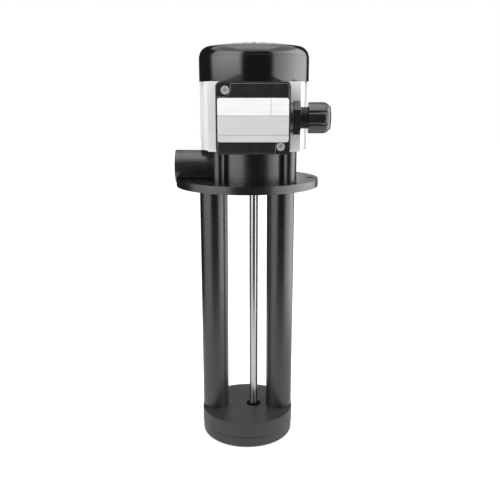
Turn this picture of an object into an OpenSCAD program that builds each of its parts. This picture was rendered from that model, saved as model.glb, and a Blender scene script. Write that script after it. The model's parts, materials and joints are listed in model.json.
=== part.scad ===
// Immersion coolant pump with a vertical motor, a mounting flange and two columns down to the pump chamber.
// Millimetres. The origin is the centre of the flange's mounting face, +Z is up, and the outlet points along -X.

/* [Flange] */
// Diameter of the mounting flange
flange_d = 130; // [126:1:150]
// Thickness of the lower flange, moulded with the columns
lower_flange_t = 2.8; // [2.4:0.1:4]
// Thickness of the upper flange, moulded with the pump head
upper_flange_t = 4.1; // [3:0.1:6]
// Distance from a mounting hole's centre to the flange's edge
hole_edge = 7.5; // [6:0.5:8.5]
// Diameter of the mounting holes
hole_d = 7; // [5:0.1:7.4]
// Distance from the flange's centre to the shaft's axis
motor_x = 6.1; // [4.5:0.1:6.4]

/* [Columns and base] */
// Length of the columns from the flange to the pump chamber's casing
column_len = 220; // [120:5:400]
// Distance between the axes of the two columns
column_spacing = 62.1; // [61.5:0.1:62.6]
// Diameter of a column at the flange
column_top_d = 25.6; // [24:0.1:26]
// Diameter of a column at its foot
column_foot_d = 24.8; // [22.8:0.1:24.8]
// Bore of the columns
column_bore_d = 13; // [10:0.5:13]
// Depth of the sockets that the columns stand in
socket_depth = 2.5; // [1.5:0.1:3]
// Diameter of the pump chamber's casing
casing_d = 88; // [87.4:0.2:92]
// Height of the casing
casing_h = 14; // [13.6:0.2:18]
// Thickness of the casing's roof over the chamber
roof_t = 6.5; // [5.5:0.1:6.8]
// Diameter of the pump chamber
chamber_d = 46; // [44:0.5:47]
// Hole in the casing's roof that the shaft passes through
shaft_hole_d = 14.5; // [12:0.1:16]
// Width of the channel from the chamber to the delivery column
channel_w = 11; // [8:0.5:11]
// Diameter of the suction cover
cover_d = 87.2; // [84:0.2:87.4]
// Thickness of the suction cover
cover_t = 11.6; // [9:0.2:16]
// Radius round the suction cover's lower edge
cover_round_r = 3.5; // [1:0.5:5]
// Diameter of the suction inlet
inlet_d = 20; // [16:0.5:26]

/* [Rotating parts] */
// Diameter of the shaft
shaft_d = 8; // [7:0.1:8.4]
// Diameter of the shaft inside the rotor
rotor_seat_d = 10; // [9.4:0.1:11]
// Diameter of the impeller
impeller_d = 40; // [30:0.5:41]
// Number of blades on the impeller
impeller_blades = 6; // [4:1:8]
// Diameter of the rotor
rotor_d = 40; // [36:0.2:41]
// Height of the rotor and stator cores
core_h = 30; // [20:1:31]
// Diameter of the cooling fan
fan_d = 84; // [60:1:86]
// Number of blades on the cooling fan
fan_blades = 9; // [6:1:12]

/* [Neck and outlet] */
// Height of the neck above the lower flange's underside
neck_top_z = 33.6; // [33:0.2:38]
// Outer diameter of the neck
neck_d = 78.4; // [76:0.2:80]
// Bore of the neck
neck_bore_d = 62; // [58:0.5:64]
// Diameter of the tie bolts' bosses
boss_d = 11.2; // [10:0.1:12]
// Height of the outlet's axis
outlet_z = 17; // [16.8:0.1:18]
// Outer diameter of the outlet
outlet_d = 30.2; // [28:0.2:31]
// Distance that the outlet's end stands past the flange's edge
outlet_proud = 0.2; // [0.1:0.1:7]
// Core diameter of the outlet's thread
outlet_bore_d = 19.2; // [18:0.1:21]
// Depth of the outlet's thread
outlet_thread_len = 15; // [12:0.5:18]
// Length of the collar at the outlet's end
outlet_collar = 5.7; // [4:0.1:8]

/* [Motor] */
// Diameter of the motor's housing
housing_d = 96.6; // [96.2:0.1:98]
// Height of the motor's housing
housing_h = 58.8; // [58.8:0.2:68]
// Bore of the motor's housing
housing_bore_d = 68; // [66:0.5:70]
// Width of the flat pad on the housing's front
pad_w = 79; // [72:0.5:84]
// Least wall between the housing's bore and the pad's face
pad_wall = 3; // [2.8:0.1:6]
// Width of a flute in the housing
flute_w = 8; // [5:0.5:10]
// Depth of a flute in the housing
flute_depth = 2.5; // [1:0.1:3]
// Thickness of the upper end shield's plate
shield_plate_t = 4; // [3:0.1:6]
// Distance from a tie bolt's axis to the housing's surface
bolt_edge = 5.9; // [5.4:0.1:6.4]
// Amount by which the fan cover stands proud of the housing all round
fan_cover_step = 0.5; // [0.4:0.05:1.7]
// Wall of the fan cover
fan_cover_wall = 2.2; // [1.6:0.1:2.6]
// Height of the fan cover
fan_cover_h = 33.2; // [32:0.2:40]
// Height of the dome's crown above its shoulder
crown_h = 3; // [1:0.2:5]
// Radius of the dome's shoulder
shoulder_r = 9.5; // [5:0.5:12]
// Number of air slots in the fan cover
vent_count = 24; // [12:1:30]
// Width of an air slot
vent_w = 2.4; // [1.5:0.1:2.8]

/* [Terminal box] */
// Width of the terminal box
box_w = 61; // [61:0.5:68]
// Sideways distance of the terminal box from the motor's axis
box_shift = -1; // [-1.5:0.1:0]
// Height of the terminal box
box_h = 57.8; // [57:0.2:58.4]
// Depth of the terminal box without its lid
box_depth = 25.1; // [25:0.1:32]
// Wall of the terminal box
box_wall = 2.5; // [2:0.1:3]
// Amount by which the lid is narrower than the box on each side
lid_inset = 0.6; // [0.5:0.1:2.5]
// Thickness of the lid
lid_t = 5.5; // [5:0.1:8]
// Offset of a lid screw from the box's centre
lid_screw_offset = 22.4; // [21.5:0.1:23]
// Side of the notch in the lid's corner for a screw
notch_side = 11.3; // [10:0.1:12]
// Depth of the notch
notch_depth = 2.6; // [1:0.1:3]
// Diameter of a lid screw's head
lid_screw_head_d = 6.8; // [6:0.1:7.5]
// Width of the nameplate
plate_w = 57.5; // [40:0.5:58]
// Height of the nameplate
plate_h = 35; // [24:0.5:35]
// Thickness of the rubber gaskets
gasket_t = 0.7; // [0.5:0.1:1.5]

/* [Cable gland] */
// Diameter of the thread that goes into the box
gland_thread_d = 20; // [16:0.5:20]
// Width across flats of the gland's hexagon
gland_hex_af = 24; // [22:0.5:25]
// Diameter of the thread under the cap nut
gland_neck_d = 18.4; // [17:0.1:19]
// Diameter of the cap nut
gland_cap_d = 25.4; // [24:0.1:28]
// Bore of the rubber seal, which grips the cable
gland_seal_bore_d = 8; // [6:0.5:9]
// Pitch of the gland's thread
gland_pitch = 1.5; // [1:0.1:2]

/* [Hidden] */
$fn = 96;

// Clearances
shaft_fit = 0.03;
seat_fit = 0.03;
screw_fit = 0.04;
loose_fit = 0.1;
running_gap = 0.3;
touch_gap = 0.05;
// Overrun of a cut past the face that it opens
cut = 1;

// Flange levels and the columns' places
flange_top_z = lower_flange_t + upper_flange_t;
hole_pcd = flange_d - 2 * hole_edge;
outlet_reach = flange_d / 2 + outlet_proud;
column_x = column_spacing / 2;
casing_top_z = -column_len;
casing_bottom_z = casing_top_z - casing_h;
roof_z = casing_top_z - roof_t;
base_z = casing_bottom_z - cover_t;
shaft_passage_d = 18;
column_screw_d = 2.5;
column_screw_y = (column_bore_d / 2 + column_foot_d / 2) / 2;
column_screw_head_d = 5.4;
column_screw_head_h = 1.6;
column_screw_grip = 12;
seam_h = 0.6;
seam_depth = 0.8;
cover_screw_d = 3;
cover_screw_head_d = 6;
cover_screw_head_h = 2.4;
cover_screw_recess = 2.8;
cover_screw_pcd = 68;
cover_screw_grip = 9;
seal_section_d = 1.9;
volute_seal_edge = 3;
volute_seal_d = casing_d - 2 * volute_seal_edge;
pipe_seal_edge = 2;
pipe_seal_d = column_bore_d + 2 * pipe_seal_edge;
flange_screw_d = 4;
flange_screw_head_d = 7.4;
flange_screw_head_h = 2.2;
flange_screw_grip = 5;

// Pump head
head_floor_t = 7.2;
head_floor_z = lower_flange_t + head_floor_t;
seal_boss_d = 30;
seal_boss_h = 11;
seal_d = 22;
seal_h = 7;
seal_seat_up = 3;
seal_seat_z = head_floor_z + seal_seat_up;
seal_shell_t = 1.5;
seal_back_t = 1.4;
seal_lip_t = 1.5;
head_shaft_hole_d = 12;
elbow_wall = 5;
elbow_roof_t = 4;
elbow_d = column_bore_d + 2 * elbow_wall;
elbow_top_z = outlet_z + column_bore_d / 2 + elbow_roof_t;
tie_bolt_d = 4;
tie_bolt_head_af = 7;
tie_bolt_head_h = 2.8;
tie_bolt_grip = 18;
step_half_w = 19.5;
step_top_z = 18.3;
step_t = 0.5;
step_corner_r = 4;
collar_groove_w = 0.7;
collar_groove_depth = 0.5;

// Motor levels
housing_top_z = neck_top_z + housing_h;
pad_reach = housing_bore_d / 2 + pad_wall;
bolt_offset = (housing_d / 2 - bolt_edge) / sqrt(2);
plate_top_z = housing_top_z + shield_plate_t;
lower_shield_t = 7;
lower_shield_floor_t = 3.4;
shield_rim_t = 6;
shield_hub_gap = 3;
upper_spigot_t = 4;
hub_past_bearing = 1;
bearing_d = 22;
bearing_h = 7;
ball_d = 3.97;
ball_pcd = 15;
ball_count = 7;
ball_gap = 0.05;
race_outer_d = 18;
race_inner_d = 12;
bearing_hub_d = 30;
bearing_shoulder = 1.4;
bearing_shoulder_d = 15;
lower_bearing_z = neck_top_z + bearing_shoulder;
spring_space = 1.2;
spring_t = 0.5;
upper_bearing_z = plate_top_z - bearing_shoulder - spring_space - bearing_h;
upper_hub_drop = 2.2;
core_z = neck_top_z + (housing_h - core_h) / 2;
core_d = housing_bore_d - 2 * seat_fit;
air_gap = 0.35;
slot_count = 12;
slot_d = 4.6;
slot_rim = 7.97;
slot_pcd = core_d - 2 * slot_rim;
slot_opening = 1.6;
core_notch_d = 3;
winding_leg_d = 4.2;
winding_rim = 2.97;
winding_rotor_gap = 2;
winding_in_d = rotor_d + 2 * winding_rotor_gap;
winding_out_d = core_d - 2 * winding_rim;
winding_h = 5.5;
winding_gap = 0.5;
bar_count = 16;
bar_d = 2.2;
bar_edge = 2.7;
bar_pcd = rotor_d - 2 * bar_edge;
end_ring_in_d = 22;
end_ring_inset = 1;
end_ring_out_d = rotor_d - 2 * end_ring_inset;
end_ring_h = 3.4;

// Fan
fan_clear = 5.6;
fan_z = plate_top_z + fan_clear;
fan_disc_t = 1.6;
fan_hub_d = 16;
fan_h = 10.5;
fan_blade_t = 1.8;
fan_blade_root = 14;
blade_tip_inset = 0.4;
clip_t = 0.8;
clip_d = 12;
clip_groove = 0.6;
clip_gap = 0.2;
shaft_end_past_clip = 1.4;
fan_clip_z = fan_z + fan_h + clip_gap;
shaft_top_z = fan_clip_z + clip_t + shaft_end_past_clip;
fan_cover_d = housing_d + 2 * fan_cover_step;
fan_cover_top_z = housing_top_z + fan_cover_h;
shoulder_z = fan_cover_top_z - crown_h - shoulder_r;
dome_inset = 0.3;
dome_edge_z = 21.5;
fan_cover_inner_d = fan_cover_d - 2 * fan_cover_wall;
shield_plate_gap = 0.2;
shield_plate_d = fan_cover_inner_d - 2 * shield_plate_gap;
vent_in_r = 14;
vent_out_r = 36;
cover_fixing_angles = [35, 145];
fixing_d = 2.6;
fixing_head_d = 5.6;
fixing_head_h = 1.2;
fixing_grip = 6;

// Flutes of the housing, as angles about the shaft's axis
flute_angles = [-20, 10, 40, 70, 110, 140, 170, 200];
bolt_channel_d = 5.2;
lead_hole_d = 9;
lead_hole_up = 4;
lead_hole_z = core_z + core_h + lead_hole_up;

// Impeller and the parts that hold it
impeller_gap = 0.6;
impeller_top_z = roof_z - impeller_gap;
impeller_disc_t = 1.5;
impeller_hub_d = 14;
impeller_hub_h = 4.6;
impeller_blade_t = 1.4;
impeller_blade_y = impeller_hub_d / 2 - 1.5 * impeller_blade_t;
impeller_floor_gap = 0.7;
impeller_blade_h = impeller_top_z - impeller_disc_t - casing_bottom_z - impeller_floor_gap;
impeller_hub_z = impeller_top_z - impeller_hub_h;
washer_d = 12;
washer_t = 1;
nut_af = 10;
nut_h = 4;
thread_end_d = 6;
nut_z = impeller_hub_z - washer_t - nut_h;
shaft_end_past_nut = 0.8;
inlet_ledge = 1.5;
inlet_recess_gap = 0.8;
shaft_bottom_z = nut_z - shaft_end_past_nut;
inlet_recess_d = inlet_d + 2 * inlet_ledge;
inlet_recess_z = min(shaft_bottom_z, casing_bottom_z) - inlet_recess_gap;
key_w = 2;
key_len = 3.4;
key_depth = 1;
stop_ring_d = 11.6;
stop_ring_t = 0.8;
stop_ring_groove = 0.5;
slinger_d = 20;
slinger_h = 5;
slinger_gap = 0.6;
slinger_hub_t = 2.5;
slinger_lip_h = 3;
slinger_z = head_floor_z + seal_boss_h + slinger_gap;

// Terminal box levels, measured towards the front along -Y
pad_y = -pad_reach;
box_x = motor_x + box_shift;
box_z = neck_top_z + running_gap + box_h / 2;
box_back_y = pad_y - gasket_t;
box_front_y = box_back_y - box_depth;
lid_back_y = box_front_y - gasket_t;
lid_front_y = lid_back_y - lid_t;
box_corner_r = 4;
gasket_inset = 0.5;
lid_corner_r = 3;
notch_r = 5.5;
lid_gap = 0.1;
lid_w = box_w - 2 * (lid_inset + lid_gap);
lid_h = box_h - 4 * lid_gap;
bevel_inset = 0.9;
bevel_h = 0.8;
lid_skin = 3;
lid_screw_d = 3.8;
lid_screw_head_h = 2.2;
lid_screw_len = 16;
lid_boss_d = 7.4;
recess_w = 0.9;
recess_len = 4.2;
recess_depth = 1.2;
box_screw_x = 20;
box_screw_dz = 14;
box_screw_d = 3;
box_screw_head_d = 5.6;
box_screw_head_h = 2;
box_screw_grip = 7;
plate_t = 0.5;
plate_corner_r = 2;
plate_drop = 1.2;
block_w = 34;
block_h = 13;
block_depth = 12;
block_up = 2;
block_z = box_z + block_up;
terminal_pitch = 10.5;
terminal_d = 5;
terminal_screw_len = 4;
terminal_screw_proud = 1;
earth_screw_x = -22;
earth_screw_z = -22;
earth_screw_d = 4;
earth_head_d = 8;
earth_head_h = 2.6;
earth_grip = 6;
lead_d = 1.8;
lead_pitch = 2.6;
lead_bend_r = 4;
lead_gap = 0.2;
lead_front_y = box_back_y - box_wall - block_depth / 2;

// Gland, measured along +X from the box's side
gland_y = box_back_y - box_depth / 2;
gland_z = box_z;
box_side_x = box_x + box_w / 2;
gland_boss_d = 25;
gland_boss_h = 2.1;
gland_washer_t = 0.6;
gland_washer_inset = 0.7;
gland_hex_x = box_side_x + gland_boss_h + gland_washer_t;
gland_hex_t = 5.9;
gland_neck_x = gland_hex_x + gland_hex_t;
gland_neck_len = 12.9;
gland_stem_len = 8.6;
gland_bore_d = 14;
thread_depth = 0.7;
thread_runout = 0.9;
thread_end_land = 0.6;
thread_groove_open = 0.3;
thread_groove_share = 0.45;
cap_gap = 6.6;
cap_x = gland_neck_x + cap_gap;
cap_body_len = 12.6;
cap_dome_len = 5.6;
cap_dome_drop = 0.6;
cap_end_d = 19;
cap_hole_d = 12;
cap_cavity_len = 11.2;
cap_cavity_d = gland_neck_d + 2 * loose_fit;
cap_flutes = 8;
cap_flute_d = 4.4;
seal_insert_len = 7;
seal_collar_t = 2.6;
seal_collar_inset = 0.6;
seal_collar_d = gland_neck_d - 2 * seal_collar_inset;
seal_collar_x = gland_neck_x + gland_neck_len + loose_fit;
slip_ring_t = 1;
slip_ring_x = seal_collar_x + seal_collar_t + 2 * loose_fit;
slip_ring_bore_d = cap_hole_d;

// Colours
black_plastic = "#26272a";
base_plastic = "#3c3d40";
satin_aluminium = "#d3d6d4";
steel = "#b9bcc0";
rubber_black = "#1c1c1d";
copper = "#b06a3a";

// Ring or tube standing on z0
module tube(d, bore, z0, h) {
    translate([0, 0, z0])
    difference() {
        cylinder(d = d, h = h);
        translate([0, 0, -cut]) cylinder(d = bore, h = h + 2 * cut);
    }
}

// Ring or tube along +X from x0
module tube_x(d, bore, x0, len) {
    translate([x0, 0, 0]) rotate([0, 90, 0]) tube(d, bore, 0, len);
}

// Places children on the shaft's axis
module at_motor() {
    translate([motor_x, 0, 0]) children();
}

// Places children at the four tie bolts
module at_bolts() {
    for (sx = [-1, 1], sy = [-1, 1]) translate([motor_x + sx * bolt_offset, sy * bolt_offset, 0]) children();
}

// Places children at the mounting holes: every 45 degrees, apart from the one that the outlet covers
module at_mounting_holes() {
    for (i = [-3 : 3]) rotate(i * 45) translate([hole_pcd / 2, 0, 0]) children();
}

// Places children on both column axes
module at_columns() {
    for (s = [-1, 1]) translate([s * column_x, 0, 0]) children();
}

// Places children at the screws that hold the columns
module at_column_screws() {
    at_columns() for (s = [-1, 1]) translate([0, s * column_screw_y, 0]) children();
}

// Places children at the screws that hold the suction cover
module at_cover_screws() {
    for (i = [0 : 3]) rotate(45 + i * 90) translate([cover_screw_pcd / 2, 0, 0]) children();
}

// Places children at the centre of the terminal box, with -Y as the front
module at_box() {
    translate([box_x, 0, box_z]) children();
}

// Places children at the two lid screws: upper left and lower right
module at_lid_screws() {
    for (s = [-1, 1]) translate([s * lid_screw_offset, 0, -s * lid_screw_offset]) children();
}

// Places children on the gland's axis, which runs along +X
module at_gland() {
    translate([0, gland_y, gland_z]) children();
}

// Square with round corners, centred
module round_rect(w, h, r) {
    square([w - 2 * r, h], center = true);
    square([w, h - 2 * r], center = true);
    for (sx = [-1, 1], sy = [-1, 1]) translate([sx * (w / 2 - r), sy * (h / 2 - r)]) circle(r);
}

// Slab in the XZ plane that goes from y0 towards the front by t
module front_slab(y0, t) {
    translate([0, y0, 0]) rotate([90, 0, 0]) linear_extrude(t) children();
}

// Rod along -Y from y0
module front_rod(d, y0, len) {
    translate([0, y0, 0]) rotate([90, 0, 0]) cylinder(d = d, h = len);
}

// Countersunk screw that points up, with its head's face at z0
module countersunk(d, head_d, head_h, z0, grip) {
    translate([0, 0, z0]) cylinder(d1 = head_d, d2 = d, h = head_h);
    translate([0, 0, z0]) cylinder(d = d, h = head_h + grip);
}

// Space for a countersunk screw, with a pilot that ends at the screw's tip
module countersunk_hole(d, head_d, head_h, z0, grip) {
    play = 2 * screw_fit;
    translate([0, 0, z0]) cylinder(d1 = head_d + play, d2 = d + play, h = head_h);
    translate([0, 0, z0]) cylinder(d = d + play, h = head_h + grip + screw_fit);
}

// Cross recess in a screw's head, cut along +Y from y0
module cross_recess(y0) {
    for (a = [0, 90]) rotate([0, a, 0])
        translate([-recess_len / 2, y0 - cut, -recess_w / 2]) cube([recess_len, recess_depth + cut, recess_w]);
}

// Pump head: upper flange, neck with four bosses, and the outlet with its elbow
module head_solid() {
    translate([0, 0, lower_flange_t]) cylinder(d = flange_d, h = upper_flange_t, $fn = 180);
    at_motor() translate([0, 0, lower_flange_t]) cylinder(d = neck_d, h = neck_top_z - lower_flange_t);
    at_bolts() translate([0, 0, lower_flange_t]) cylinder(d = boss_d, h = neck_top_z - lower_flange_t);
    head_step();
    intersection() {
        translate([-outlet_reach, 0, outlet_z]) rotate([0, 90, 0])
            cylinder(d = outlet_d, h = outlet_reach - column_x + elbow_d / 2);
        translate([-flange_d, -flange_d / 2, lower_flange_t]) cube([flange_d, flange_d, neck_top_z - lower_flange_t]);
    }
}

// Shallow step on the lower front of the neck
module head_step() {
    intersection() {
        at_motor() translate([0, 0, flange_top_z])
            cylinder(d = neck_d + 2 * step_t, h = step_top_z - flange_top_z);
        translate([motor_x, 0, 0])
            front_slab(0, neck_d)
                translate([0, step_top_z / 2]) round_rect(2 * step_half_w, step_top_z, step_corner_r);
    }
}

// Hollow of the neck, without the elbow and the seal's boss that stand in it
module neck_hollow() {
    difference() {
        at_motor() translate([0, 0, head_floor_z])
            cylinder(d = neck_bore_d, h = neck_top_z - head_floor_z + cut);
        at_motor() translate([0, 0, head_floor_z - cut]) cylinder(d = seal_boss_d, h = seal_boss_h + cut);
        translate([-column_x, 0, 0]) cylinder(d = elbow_d, h = elbow_top_z);
    }
}

// Way of the liquid through the pump head
module delivery_way() {
    translate([-column_x, 0, lower_flange_t - cut])
        cylinder(d = column_bore_d, h = outlet_z - lower_flange_t + cut);
    translate([-column_x, 0, outlet_z]) sphere(d = column_bore_d);
    translate([-outlet_reach - cut, 0, outlet_z]) rotate([0, 90, 0])
        cylinder(d = column_bore_d, h = outlet_reach - column_x + cut);
    translate([-outlet_reach - cut, 0, outlet_z]) rotate([0, 90, 0])
        cylinder(d = outlet_bore_d, h = outlet_thread_len + cut);
}

module pump_head() {
    color(black_plastic)
    difference() {
        head_solid();
        neck_hollow();
        delivery_way();
        at_motor() translate([0, 0, -cut]) cylinder(d = head_shaft_hole_d, h = seal_seat_z + 2 * cut);
        at_motor() translate([0, 0, seal_seat_z]) cylinder(d = seal_d + 2 * seat_fit, h = neck_top_z);
        at_bolts() translate([0, 0, neck_top_z - tie_bolt_grip - screw_fit])
            cylinder(d = tie_bolt_d + 2 * screw_fit, h = tie_bolt_grip + cut);
        at_bolts() countersunk_hole(flange_screw_d, flange_screw_head_d, flange_screw_head_h, 0, flange_screw_grip);
        at_mounting_holes() cylinder(d = hole_d, h = flange_top_z + cut);
        translate([-outlet_reach + outlet_collar, 0, outlet_z])
            tube_x(outlet_d + 2 * cut, outlet_d - 2 * collar_groove_depth, 0, collar_groove_w);
        translate([-column_x, 0, 0])
            tube(pipe_seal_d + seal_section_d + screw_fit, pipe_seal_d - seal_section_d - screw_fit,
                lower_flange_t - cut, seal_section_d + screw_fit + cut);
    }
}

// Column body: lower flange with the delivery column on the left and the support column on the right
module column_body() {
    color(black_plastic)
    difference() {
        union() {
            cylinder(d = flange_d, h = lower_flange_t, $fn = 180);
            at_columns() translate([0, 0, -column_len])
                cylinder(d1 = column_foot_d, d2 = column_top_d, h = column_len);
            at_columns() translate([0, 0, -column_len - socket_depth])
                cylinder(d = column_foot_d, h = socket_depth + cut);
        }
        translate([-column_x, 0, -column_len - socket_depth - cut])
            cylinder(d = column_bore_d, h = column_len + socket_depth + lower_flange_t + 2 * cut);
        translate([column_x, 0, -column_len - socket_depth - cut])
            cylinder(d = column_bore_d, h = column_len + socket_depth - lower_flange_t);
        at_motor() translate([0, 0, -cut]) cylinder(d = shaft_passage_d, h = lower_flange_t + 2 * cut);
        at_column_screws() countersunk_hole(column_screw_d, column_screw_head_d, column_screw_head_h,
            roof_z, column_screw_grip);
        at_bolts() translate([0, 0, -cut]) cylinder(d = flange_screw_d + 2 * screw_fit, h = lower_flange_t + 2 * cut);
        at_bolts() countersunk_hole(flange_screw_d, flange_screw_head_d, flange_screw_head_h, 0, flange_screw_grip);
        at_mounting_holes() translate([0, 0, -cut]) cylinder(d = hole_d, h = lower_flange_t + 2 * cut);
    }
}

module flange_screws() {
    color(steel)
    at_bolts() countersunk(flange_screw_d, flange_screw_head_d, flange_screw_head_h, screw_fit,
        flange_screw_grip - screw_fit);
}

// O-ring between the column body and the pump head, round the delivery bore
module pipe_seal() {
    color(rubber_black)
    translate([-column_x, 0, lower_flange_t + seal_section_d / 2])
        rotate_extrude() translate([pipe_seal_d / 2, 0]) circle(d = seal_section_d, $fn = 32);
}

module volute_casing() {
    color(base_plastic)
    difference() {
        translate([0, 0, casing_bottom_z]) cylinder(d = casing_d, h = casing_h, $fn = 180);
        at_columns() translate([0, 0, casing_top_z - socket_depth])
            cylinder(d = column_foot_d + 2 * loose_fit, h = socket_depth + cut);
        at_motor() translate([0, 0, casing_bottom_z - cut]) cylinder(d = chamber_d, h = casing_h - roof_t + cut);
        at_motor() translate([0, 0, roof_z - cut]) cylinder(d = shaft_hole_d, h = roof_t + 2 * cut);
        translate([-column_x, -channel_w / 2, casing_bottom_z - cut])
            cube([column_x, channel_w, casing_h - roof_t + cut]);
        translate([-column_x, 0, casing_bottom_z - cut]) cylinder(d = channel_w, h = casing_h - roof_t + cut);
        translate([-column_x, 0, roof_z - cut]) cylinder(d = channel_w, h = roof_t);
        at_column_screws() countersunk_hole(column_screw_d, column_screw_head_d, column_screw_head_h,
            roof_z, column_screw_grip);
        at_column_screws() translate([0, 0, casing_bottom_z - cut])
            cylinder(d = column_screw_head_d + 2 * screw_fit, h = casing_h - roof_t + cut);
        at_cover_screws() translate([0, 0, casing_bottom_z - cut])
            cylinder(d = cover_screw_d + 2 * screw_fit, h = cover_screw_grip + screw_fit + cut);
        tube(volute_seal_d + seal_section_d + screw_fit, volute_seal_d - seal_section_d - screw_fit,
            casing_bottom_z - cut, seal_section_d + screw_fit + cut);
    }
}

module column_screws() {
    color(steel)
    at_column_screws() countersunk(column_screw_d, column_screw_head_d, column_screw_head_h,
        roof_z + screw_fit, column_screw_grip - screw_fit);
}

// Suction cover: closes the chamber from below, with a round lower edge and a fine groove at the seam.
// Its inlet widens above the bore, where the impeller's nut turns
module suction_cover() {
    color(base_plastic)
    difference() {
        translate([0, 0, base_z])
        rotate_extrude($fn = 180) {
            square([cover_d / 2 - cover_round_r, cover_t]);
            translate([0, cover_round_r]) square([cover_d / 2 - seam_depth, cover_t - cover_round_r]);
            translate([0, cover_round_r]) square([cover_d / 2, cover_t - cover_round_r - seam_h]);
            translate([cover_d / 2 - cover_round_r, cover_round_r]) intersection() {
                circle(cover_round_r);
                translate([0, -cover_round_r]) square(cover_round_r);
            }
        }
        at_motor() translate([0, 0, base_z - cut]) cylinder(d = inlet_d, h = cover_t + 2 * cut);
        at_motor() translate([0, 0, inlet_recess_z])
            cylinder(d = inlet_recess_d, h = casing_bottom_z - inlet_recess_z + cut);
        at_cover_screws() translate([0, 0, base_z - cut])
            cylinder(d = cover_screw_d + 2 * screw_fit, h = cover_t + 2 * cut);
        at_cover_screws() translate([0, 0, base_z - cut])
            cylinder(d = cover_screw_head_d + 2 * loose_fit, h = cover_screw_recess + cut);
    }
}

module cover_screws() {
    color(steel)
    at_cover_screws() difference() {
        translate([0, 0, base_z + cover_screw_recess]) {
            cylinder(d = cover_screw_d, h = cover_t - cover_screw_recess + cover_screw_grip);
            translate([0, 0, -cover_screw_head_h]) cylinder(d = cover_screw_head_d, h = cover_screw_head_h);
        }
        translate([0, 0, base_z + cover_screw_recess - cover_screw_head_h - cut]) for (a = [0, 90]) rotate(a)
            translate([-recess_len / 2, -recess_w / 2, 0]) cube([recess_len, recess_w, recess_depth + cut]);
    }
}

// O-ring between the casing and the suction cover
module volute_seal() {
    color(rubber_black)
    translate([0, 0, casing_bottom_z + seal_section_d / 2])
        rotate_extrude($fn = 180) translate([volute_seal_d / 2, 0]) circle(d = seal_section_d, $fn = 32);
}

module impeller() {
    color("#8f7a4a")
    at_motor() difference() {
        union() {
            translate([0, 0, impeller_top_z - impeller_disc_t]) cylinder(d = impeller_d, h = impeller_disc_t);
            translate([0, 0, impeller_hub_z]) cylinder(d = impeller_hub_d, h = impeller_hub_h);
            for (i = [0 : impeller_blades - 1]) rotate(i * 360 / impeller_blades) intersection() {
                translate([0, impeller_blade_y, impeller_top_z - impeller_disc_t - impeller_blade_h])
                    cube([impeller_d / 2, impeller_blade_t, impeller_blade_h + impeller_disc_t / 2]);
                translate([0, 0, impeller_top_z - impeller_disc_t - impeller_blade_h])
                    cylinder(d = impeller_d - 2 * blade_tip_inset, h = impeller_blade_h + impeller_disc_t);
            }
        }
        translate([0, 0, impeller_hub_z - cut]) cylinder(d = shaft_d + 2 * shaft_fit, h = impeller_hub_h + 2 * cut);
        translate([0, 0, impeller_hub_z - nut_h]) cylinder(d = washer_d + 2 * running_gap, h = nut_h);
        translate([0, -key_w / 2 - screw_fit, impeller_hub_z - cut])
            cube([shaft_d / 2 + key_depth + screw_fit, key_w + 2 * screw_fit, impeller_hub_h + 2 * cut]);
    }
}

module impeller_key() {
    color(steel)
    at_motor() translate([shaft_d / 2 - key_depth + screw_fit, -key_w / 2, impeller_top_z - key_len])
        cube([2 * key_depth - screw_fit, key_w, key_len - screw_fit]);
}

module impeller_washer() {
    color(steel)
    at_motor() tube(washer_d, thread_end_d + 2 * loose_fit, impeller_hub_z - washer_t, washer_t);
}

module impeller_nut() {
    color(steel)
    at_motor() difference() {
        translate([0, 0, nut_z]) cylinder(d = nut_af / cos(30), h = nut_h, $fn = 6);
        translate([0, 0, nut_z - cut]) cylinder(d = thread_end_d + 2 * shaft_fit, h = nut_h + 2 * cut);
    }
}

// Snap ring that the impeller bears against
module impeller_stop_ring() {
    color(steel)
    at_motor() tube(stop_ring_d, shaft_d - 2 * stop_ring_groove + 2 * shaft_fit, impeller_top_z, stop_ring_t);
}

// Long shaft from the fan down to the impeller
module motor_shaft() {
    seat_low_z = lower_bearing_z + bearing_h;
    color("#c8c6c0")
    at_motor() difference() {
        union() {
            translate([0, 0, impeller_hub_z]) cylinder(d = shaft_d, h = shaft_top_z - impeller_hub_z);
            translate([0, 0, shaft_bottom_z]) cylinder(d = thread_end_d, h = impeller_hub_z - shaft_bottom_z + cut);
            translate([0, 0, seat_low_z]) cylinder(d = rotor_seat_d, h = upper_bearing_z - seat_low_z);
        }
        tube(shaft_d + 2 * cut, shaft_d - 2 * clip_groove, fan_clip_z - shaft_fit, clip_t + 2 * shaft_fit);
        tube(shaft_d + 2 * cut, shaft_d - 2 * stop_ring_groove,
            impeller_top_z - shaft_fit, stop_ring_t + 2 * shaft_fit);
        translate([shaft_d / 2 - key_depth, -key_w / 2 - screw_fit, impeller_top_z - key_len - screw_fit])
            cube([shaft_d, key_w + 2 * screw_fit, key_len + screw_fit]);
    }
}

// Lip seal in the pump head's boss
module shaft_lip_seal() {
    color(rubber_black)
    at_motor() {
        tube(seal_d, seal_d - 2 * seal_shell_t, seal_seat_z, seal_h);
        tube(seal_d - seal_shell_t, shaft_d + 2 * seal_lip_t, seal_seat_z, seal_back_t);
        translate([0, 0, seal_seat_z]) difference() {
            cylinder(d1 = shaft_d + 4 * seal_lip_t, d2 = shaft_d + 2 * seal_lip_t, h = seal_h - seal_back_t);
            translate([0, 0, -cut]) cylinder(d = shaft_d + 2 * shaft_fit, h = seal_h + 2 * cut);
        }
    }
}

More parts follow.
